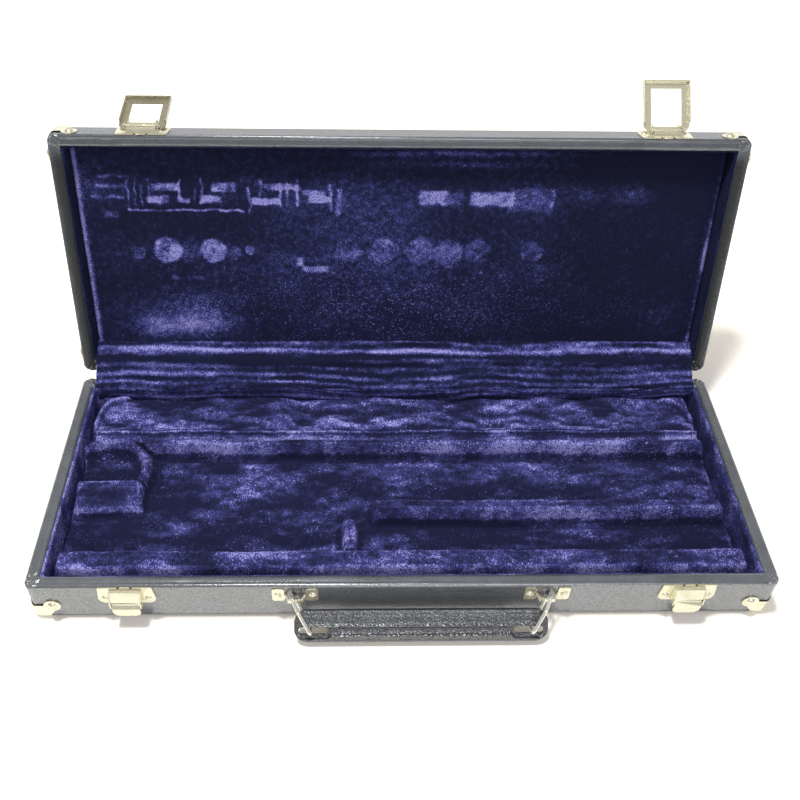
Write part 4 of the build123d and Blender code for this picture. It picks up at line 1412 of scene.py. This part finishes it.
@dataclass
class Grip:
    """Moulded bar of the handle, with ridges along its face and a slot near each end.

    Places run along the bar, across it upwards and out of its face, whose lean is measured from
    upright. Each ridge is its place across, its height and its width. The back is cut away by
    the relief beyond the place where it starts.
    """

    finish: bpy.types.Material
    middle: tuple[float, float, float] = (9.25, -99.0, 9.15)
    lean: float = 38.0
    length: float = 148.5
    below: float = 6.5
    above: float = 12.5
    thickness: float = 7.0
    corner: float = 8.0
    edge: float = 2.2
    slot_reach: float = 63.2
    slot_length: float = 17.5
    slot_width: float = 4.6
    dish_across: float = -0.9
    dish_length: float = 21.0
    dish_width: float = 7.2
    relief_start: float = 47.0
    relief: float = 2.0
    least_thickness: float = 0.8
    ridge_rise: float = 1.4
    upper_ridge: tuple[float, float, float] = (3.5, 1.35, 0.65)
    lower_ridge: tuple[float, float, float] = (-2.7, 1.4, 0.8)
    turn_steps: int = 26
    straight_steps: int = 260
    across_steps: int = 70
    sharp_angle: float = 40.0
    cutter_reach: float = 6.0
    cutter_points: int = 40

    def place(self, points: Array) -> Array:
        """Sets points of along, across and out of the face in the case's frame.

        Args:
            points: the bar's own places, the last axis being along, across, out.

        Returns:
            The points in the case's frame, in millimetres.
        """
        lean = np.radians(self.lean)
        along, across, out = points[..., 0], points[..., 1], points[..., 2]
        y = across * np.sin(lean) - out * np.cos(lean) + self.middle[1]
        z = across * np.cos(lean) + out * np.sin(lean) + self.middle[2]
        return np.stack([along + self.middle[0], y, z], axis=-1)

    def face(self, along: Array, across: Array) -> Array:
        """Height of the face over the bar's middle plane.

        Two ridges with bell-shaped sections run from end to end and fade past the slots, a band
        is sunk between them from slot to slot, and the upper band steps down once. Each slot lies
        in a longer dish.

        Args:
            along: places along the bar.
            across: places across it.

        Returns:
            Heights out of the middle plane.
        """
        half = self.thickness / 2
        ends = 1 - ease(np.abs(along), self.slot_reach + 2, self.slot_reach + 8)
        at, high, wide = self.upper_ridge
        upper = high * bell(across, at, wide) * ends
        at, high, wide = self.lower_ridge
        lower = high * bell(across, at, wide) * (0.25 + 0.75 * ends)
        sunk = (1 - ease(np.abs(across - 0.5), 1.7, 2.1)) * (1 - ease(np.abs(along), 53, 55))
        step = ease(across, 9.2, 9.7) * ends
        straight = (self.dish_length - self.dish_width) / 2
        side = np.maximum(np.abs(np.abs(along) - self.slot_reach) - straight, 0)
        from_dish = np.hypot(side, across - self.dish_across) - self.dish_width / 2
        dish = 1 - ease(from_dish, -0.5, 0.4)
        height = half - self.ridge_rise + upper + lower - 0.55 * sunk - 0.3 * step
        return np.minimum(height - dish * (1.5 + upper + lower), half)

    def body(self) -> bpy.types.Object:
        """Lays face, sides and back round the bar, column by column, and caps both ends.

        In each column the across place runs with a cosine from one side of the rounded outline to
        the other, and near the outline the surface falls away on a quarter circle.

        Returns:
            The bar without its slots.
        """
        half, last = self.thickness / 2, self.length / 2
        turn = np.linspace(0, np.pi / 2, self.turn_steps)
        ends = last - self.corner + self.corner * np.sin(turn)
        straight = np.linspace(-last + self.corner, last - self.corner, self.straight_steps)[1:-1]
        along = np.concatenate([-ends[::-1], straight, ends])
        inside = np.maximum(np.abs(along) - last + self.corner, 0)
        cut = self.corner - np.sqrt(np.maximum(self.corner**2 - inside**2, 0))
        low, high = -self.below + cut, self.above - cut
        share = (1 - np.cos(np.linspace(0, np.pi, self.across_steps))) / 2
        across = low[:, None] + (high - low)[:, None] * share[None, :]
        grid = np.broadcast_to(along[:, None], across.shape)
        mid = (self.above - self.below) / 2
        far_x = np.abs(grid) - last + self.corner
        far_y = np.abs(across - mid) - (self.above + self.below) / 2 + self.corner
        outside = np.hypot(np.maximum(far_x, 0), np.maximum(far_y, 0))
        outside += np.minimum(np.maximum(far_x, far_y), 0)
        depth = np.clip(self.corner - outside, 0, self.edge)
        drop = self.edge - np.sqrt(np.maximum(self.edge**2 - (self.edge - depth) ** 2, 0))
        rise = self.face(grid, across)
        front = rise - drop * (rise - half + self.edge) / self.edge
        relieved = self.relief * ease(np.abs(grid), self.relief_start, self.relief_start + 2.5)
        relieved = relieved * ease(across, -3.6, -2.7)
        back = np.minimum(np.maximum(drop, relieved) - half, front - self.least_thickness)
        face = np.stack([grid, across, front], axis=-1)
        rear = np.stack([grid, across, back], axis=-1)[:, ::-1]
        loop = np.concatenate([face, rear], axis=1)
        count = loop.shape[1]
        first, final = list(range(count)), [(len(along) - 1) * count + i for i in range(count)]
        return surface("handle_bar", self.place(loop), wrap_v=True, caps=[first, final[::-1]])

    def slot_cutter(self, side: int) -> bpy.types.Object:
        """A stadium-shaped prism through one slot.

        Args:
            side: -1 for the left slot, 1 for the right one.

        Returns:
            The prism, which is removed once the slot is cut.
        """
        radius = self.slot_width / 2
        straight = self.slot_length / 2 - radius
        angle = np.linspace(0, 2 * np.pi, self.cutter_points, endpoint=False)
        x = side * self.slot_reach + np.sign(np.cos(angle)) * straight + radius * np.cos(angle)
        y = radius * np.sin(angle)
        out = np.array([-self.cutter_reach, self.cutter_reach])
        points = np.stack(np.broadcast_arrays(x[:, None], y[:, None], out[None, :]), axis=-1)
        low, high = list(range(0, 2 * len(angle), 2)), list(range(1, 2 * len(angle), 2))
        return surface("slot_cutter", self.place(points), wrap_u=True, caps=[low[::-1], high])

    def build(self) -> bpy.types.Object:
        """Cuts both slots through the bar and keeps the result as a plain mesh.

        Returns:
            The finished piece.
        """
        piece = self.body()
        cutters = [self.slot_cutter(side) for side in (-1, 1)]
        for cutter in cutters:
            cut = piece.modifiers.new("slot", "BOOLEAN")
            cut.operation, cut.object, cut.solver = "DIFFERENCE", cutter, "EXACT"
        graph = bpy.context.evaluated_depsgraph_get()
        mesh = bpy.data.meshes.new_from_object(piece.evaluated_get(graph))
        piece.modifiers.clear()
        piece.data = mesh
        for cutter in cutters:
            bpy.data.objects.remove(cutter)
        mesh.shade_smooth()
        mesh.set_sharp_from_angle(angle=np.radians(self.sharp_angle))
        mesh.materials.clear()
        mesh.materials.append(self.finish)
        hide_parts("handle_grip")
        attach(piece, "handle")
        return piece


# ---------------------------------------------------------------- the room


@dataclass
class Studio:
    """Pale floor, soft lamps, plain surroundings and the camera, in metres and radians.

    The floor glows a little to the camera, and more away from the case, so that it stays white:
    the glow grows between the floor lifts, over the lift's reach from a box with half sizes
    lift_box. Lit and mirrored are the surroundings' strengths, as light and in reflections.
    """

    place: tuple[float, float, float] = (-0.03046, -0.36691, 0.49391)
    turns: tuple[float, float, float] = (-0.79441174, 0.0268764, -0.00122738)
    lens: float = 40.897
    sensor: float = 36.0
    shift: tuple[float, float] = (0.0272, -0.0506)
    clip: tuple[float, float] = (0.01, 100.0)
    floor_size: float = 14.0
    floor_near: float = 0.8
    floor_drop: float = 0.0002
    floor_lifts: tuple[float, float] = (0.13, 0.45)
    lift_box: tuple[float, float, float] = (0.2, 0.06, 1.0)
    lift_reach: tuple[float, float] = (0.07, 0.2)
    lamps_aim: tuple[float, float, float] = (0.0, 0.03, 0.05)
    lit: float = 0.4
    mirrored: float = 1.6
    front: str = "7c7c7c"
    above: tuple[tuple[float, str], ...] = (
        (0.5, "ffffff"), (0.64, "c2c2c2"), (0.8, "818181"), (1.0, "818181")
    )

    def camera(self) -> None:
        """Sets the camera, whose turns about x, y and z, in that order, bring the room to it."""
        data = bpy.data.cameras.new("camera")
        data.lens, data.sensor_width = self.lens, self.sensor
        data.shift_x, data.shift_y = self.shift
        data.clip_start, data.clip_end = self.clip
        camera = bpy.data.objects.new("camera", data)
        bpy.context.scene.collection.objects.link(camera)
        x, y, z = self.turns
        turn = Matrix.Rotation(z, 3, "Z") @ Matrix.Rotation(y, 3, "Y") @ Matrix.Rotation(x, 3, "X")
        camera.matrix_world = Matrix.Translation(self.place) @ turn.transposed().to_4x4()
        bpy.context.scene.camera = camera

    def floor(self) -> None:
        """A white floor that shows as white and keeps soft shadows.

        Its glow grows with the distance from a box round the case, and only the camera sees it.
        """
        material = bpy.data.materials.new("matt_white_paper")
        material.use_nodes = True
        tree = material.node_tree
        tree.nodes.clear()
        seen = add_node(tree, "LightPath").outputs["Is Camera Ray"]
        place = add_node(tree, "TexCoord").outputs["Object"]
        size = add_node(tree, "VectorMath", {0: place}, operation="ABSOLUTE").outputs[0]
        past = add_node(tree, "VectorMath", {0: size, 1: self.lift_box}, operation="SUBTRACT").outputs[0]
        past = add_node(tree, "VectorMath", {0: past, 1: (0.0, 0.0, 0.0)}, operation="MAXIMUM").outputs[0]
        away = add_node(tree, "VectorMath", {0: past}, operation="LENGTH").outputs["Value"]
        (start, end), (least, most) = self.lift_reach, self.floor_lifts
        spread = {"Value": away, "From Min": start, "From Max": end, "To Min": least, "To Max": most}
        share = add_node(tree, "MapRange", spread).outputs["Result"]
        lift = add_node(tree, "Math", {0: seen, 1: share}, operation="MULTIPLY").outputs[0]
        diffuse = add_node(tree, "BsdfDiffuse", {"Color": linear("#fbfaf7")})
        glow = add_node(tree, "Emission", {"Color": linear("#ffe8c8"), "Strength": lift})
        both = add_node(tree, "AddShader", {0: diffuse.outputs[0], 1: glow.outputs[0]})
        add_node(tree, "OutputMaterial", {"Surface": both.outputs[0]})
        half, front, low = self.floor_size / 2, -self.floor_near, -self.floor_drop
        corners = [(-half, front, low), (half, front, low), (half, half, low), (-half, half, low)]
        mesh = bpy.data.meshes.new("floor")
        mesh.from_pydata(corners, [], [(0, 1, 2, 3)])
        floor = bpy.data.objects.new("floor", mesh)
        bpy.context.scene.collection.objects.link(floor)
        mesh.materials.append(material)

    def lamps(self) -> None:
        """A key lamp high on the left without highlights, one in front, and a strip for highlights.

        Each lamp is a name, place, size, power and colour.
        """
        for name, at, size, power, colour in (
            ("key_lamp", (-0.25, -0.05, 1.55), (0.18, 0.18), 23.0, "#fffdf8"),
            ("front_lamp", (0.3, -1.5, 1.2), (0.9, 0.9), 8.0, "#f4f7ff"),
            ("top_lamp", (-0.2, -0.02, 2.0), (1.3, 0.17), 14.0, "#ffffff"),
        ):
            data = bpy.data.lights.new(name, "AREA")
            data.shape, data.energy, data.color = "RECTANGLE", power, linear(colour)[:3]
            data.size, data.size_y = size
            lamp = bpy.data.objects.new(name, data)
            bpy.context.scene.collection.objects.link(lamp)
            lamp.location = at
            lamp.visible_glossy = name != "key_lamp"
            lamp.visible_diffuse = name != "top_lamp"
            aim = Vector(self.lamps_aim) - Vector(at)
            lamp.rotation_euler = aim.to_track_quat("-Z", "Y").to_euler()

    def world(self) -> None:
        """Plain surroundings: white to the camera, dimmer as light, and greys in reflections.

        A reflection sees one grey in front of the case. Behind it, greys fall with height.
        """
        world = bpy.data.worlds.new("surroundings")
        bpy.context.scene.world = world
        world.use_nodes = True
        tree = world.node_tree
        tree.nodes.clear()
        path = add_node(tree, "LightPath").outputs
        seen, mirror = path["Is Camera Ray"], path["Is Glossy Ray"]
        direct = add_node(tree, "Mix", {0: seen, 2: self.lit, 3: 1.0}, data_type="FLOAT").outputs[0]
        strength = add_node(tree, "Mix", {0: mirror, 2: direct, 3: self.mirrored}, data_type="FLOAT")
        aim = add_node(tree, "SeparateXYZ", {0: add_node(tree, "TexCoord").outputs["Generated"]}).outputs
        high = add_node(tree, "Math", {0: aim["Z"], 1: 0.5, 2: 0.5}, operation="MULTIPLY_ADD").outputs[0]
        behind = add_node(tree, "MapRange", {"Value": aim["Y"], "From Min": -0.3, "From Max": 0.2})
        greys = {0: behind.outputs["Result"], 6: linear(self.front), 7: ramp(tree, high, self.above)}
        shade = add_node(tree, "Mix", greys, data_type="RGBA").outputs[2]
        plain = add_node(tree, "Mix", {0: mirror, 6: linear("ffffff"), 7: shade}, data_type="RGBA")
        back = add_node(tree, "Background", {"Color": plain.outputs[2], "Strength": strength.outputs[0]})
        add_node(tree, "OutputWorld", {"Surface": back.outputs[0]})

    def build(self) -> None:
        """Sets the whole room up."""
        self.camera()
        self.floor()
        self.lamps()
        self.world()
        bpy.context.scene.view_settings.view_transform = "Standard"


@dataclass
class Hardware:
    """Gives each kept CAD node its finish, and the stamped ones their rolled edges."""

    nodes: Mapping[str, bpy.types.Object]
    stamped: tuple[str, ...] = (
        "latch_base_plate", "latch_lid_plate", "latch_lever_l", "latch_lever_r", "latch_bail_l",
        "latch_bail_r", "handle_plate_l", "handle_plate_r", "corner_protectors",
    )
    weld: float = 0.002

    def dress(self, rules: Sequence[tuple[Callable[[str], bool], bpy.types.Material]]) -> None:
        """Gives each node the material of the first rule that its name fits.

        Args:
            rules: tests of a node's name, each with its material.
        """
        for name, node in self.nodes.items():
            material = next(m for test, m in rules if test(name))
            node.data.materials.clear()
            node.data.materials.append(material)

    def soften(self, width: float, turn: float = 32.0) -> None:
        """Rolls the edges of the stamped pieces, as the press does.

        Args:
            width: width of the rolled edge in millimetres.
            turn: least angle between faces, in degrees, at which an edge is rolled.
        """
        for name, node in self.nodes.items():
            if any(part in name for part in self.stamped):
                weld = node.modifiers.new("weld", "WELD")
                weld.merge_threshold = self.weld * MM
                bevel = node.modifiers.new("rolled_edge", "BEVEL")
                bevel.width, bevel.segments = width * MM, 3
                bevel.limit_method, bevel.angle_limit = "ANGLE", np.radians(turn)


def main() -> None:
    """Builds every piece in order."""
    logging.basicConfig(level=logging.INFO, format="%(name)s: %(message)s")
    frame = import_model()
    Studio().build()
    cloth = Leathercloth("leathercloth_faded_black").build()
    # The lid's copy of the same cloth is darker, which is painted shade, and less lacquered.
    lid_cloth_in_painted_shade = Leathercloth(
        "black_leathercloth_in_painted_shade", black="#2c3037", faded="#474c55", lacquer=2.4
    ).build()
    plush = Plush("navy_rayon_plush").build()
    lid_plush = Plush(
        "shaded_navy_rayon_plush", deep="#13172e", navy="#22274b", violet="#515299", bright="#9896cf"
    ).build()
    nickel = PlatedMetal("nickel_plated_steel").build()
    # A darker copy of the nickel for the left bail, which is painted shade.
    nickel_in_painted_shade = PlatedMetal("nickel_plated_steel_in_painted_shade", bright="#c4bda6", dull="#a0987e").build()
    wire = PlatedMetal(
        "bright_steel_wire", bright="#f2f0e6", dull="#c9c5b8", low_rough="6e6e6e", high_rough="858585"
    ).build()
    spring = PlatedMetal("blued_spring_steel", bright="#8a8780", dull="#5e5a52").build()
    grip = MouldedGrip("black_moulded_thermoplastic").build()
    wood = Plywood("birch_plywood").build()
    hardware = Hardware(frame["nodes"])
    hardware.dress(
        [
            (lambda n: n == "handle_grip", grip),
            (lambda n: n == "handle_core" or n.startswith("latch_spring"), spring),
            (lambda n: n.startswith("handle_ring"), wire),
            (lambda n: n.endswith(("_wall", "_board")), wood),
            (lambda n: "flap" in n or "lining" in n or "padded" in n or n.startswith("insert_"), plush),
            (lambda n: n.endswith(("covering", "_sheet")), cloth),
            (lambda n: n == "latch_bail_left", nickel_in_painted_shade),
            (lambda n: True, nickel),
        ]
    )
    hardware.soften(0.16)
    pieces = [
        Covering(Half.BASE, cloth).build(),
        Covering(Half.LID, lid_cloth_in_painted_shade, seed=4).build(),
        WallPlush(Half.BASE, plush).build(),
        WallPlush(Half.LID, lid_plush, seed=12).build(),
        InsertPlush(plush).build(),
        PanelPlush(lid_plush).build(),
        HingeFlap(lid_plush).build(),
        Grip(grip).build(),
    ]
    for piece in pieces:
        LOG.info("%s has %d faces", piece.name, len(piece.data.polygons))


if __name__ == "__main__":
    main()
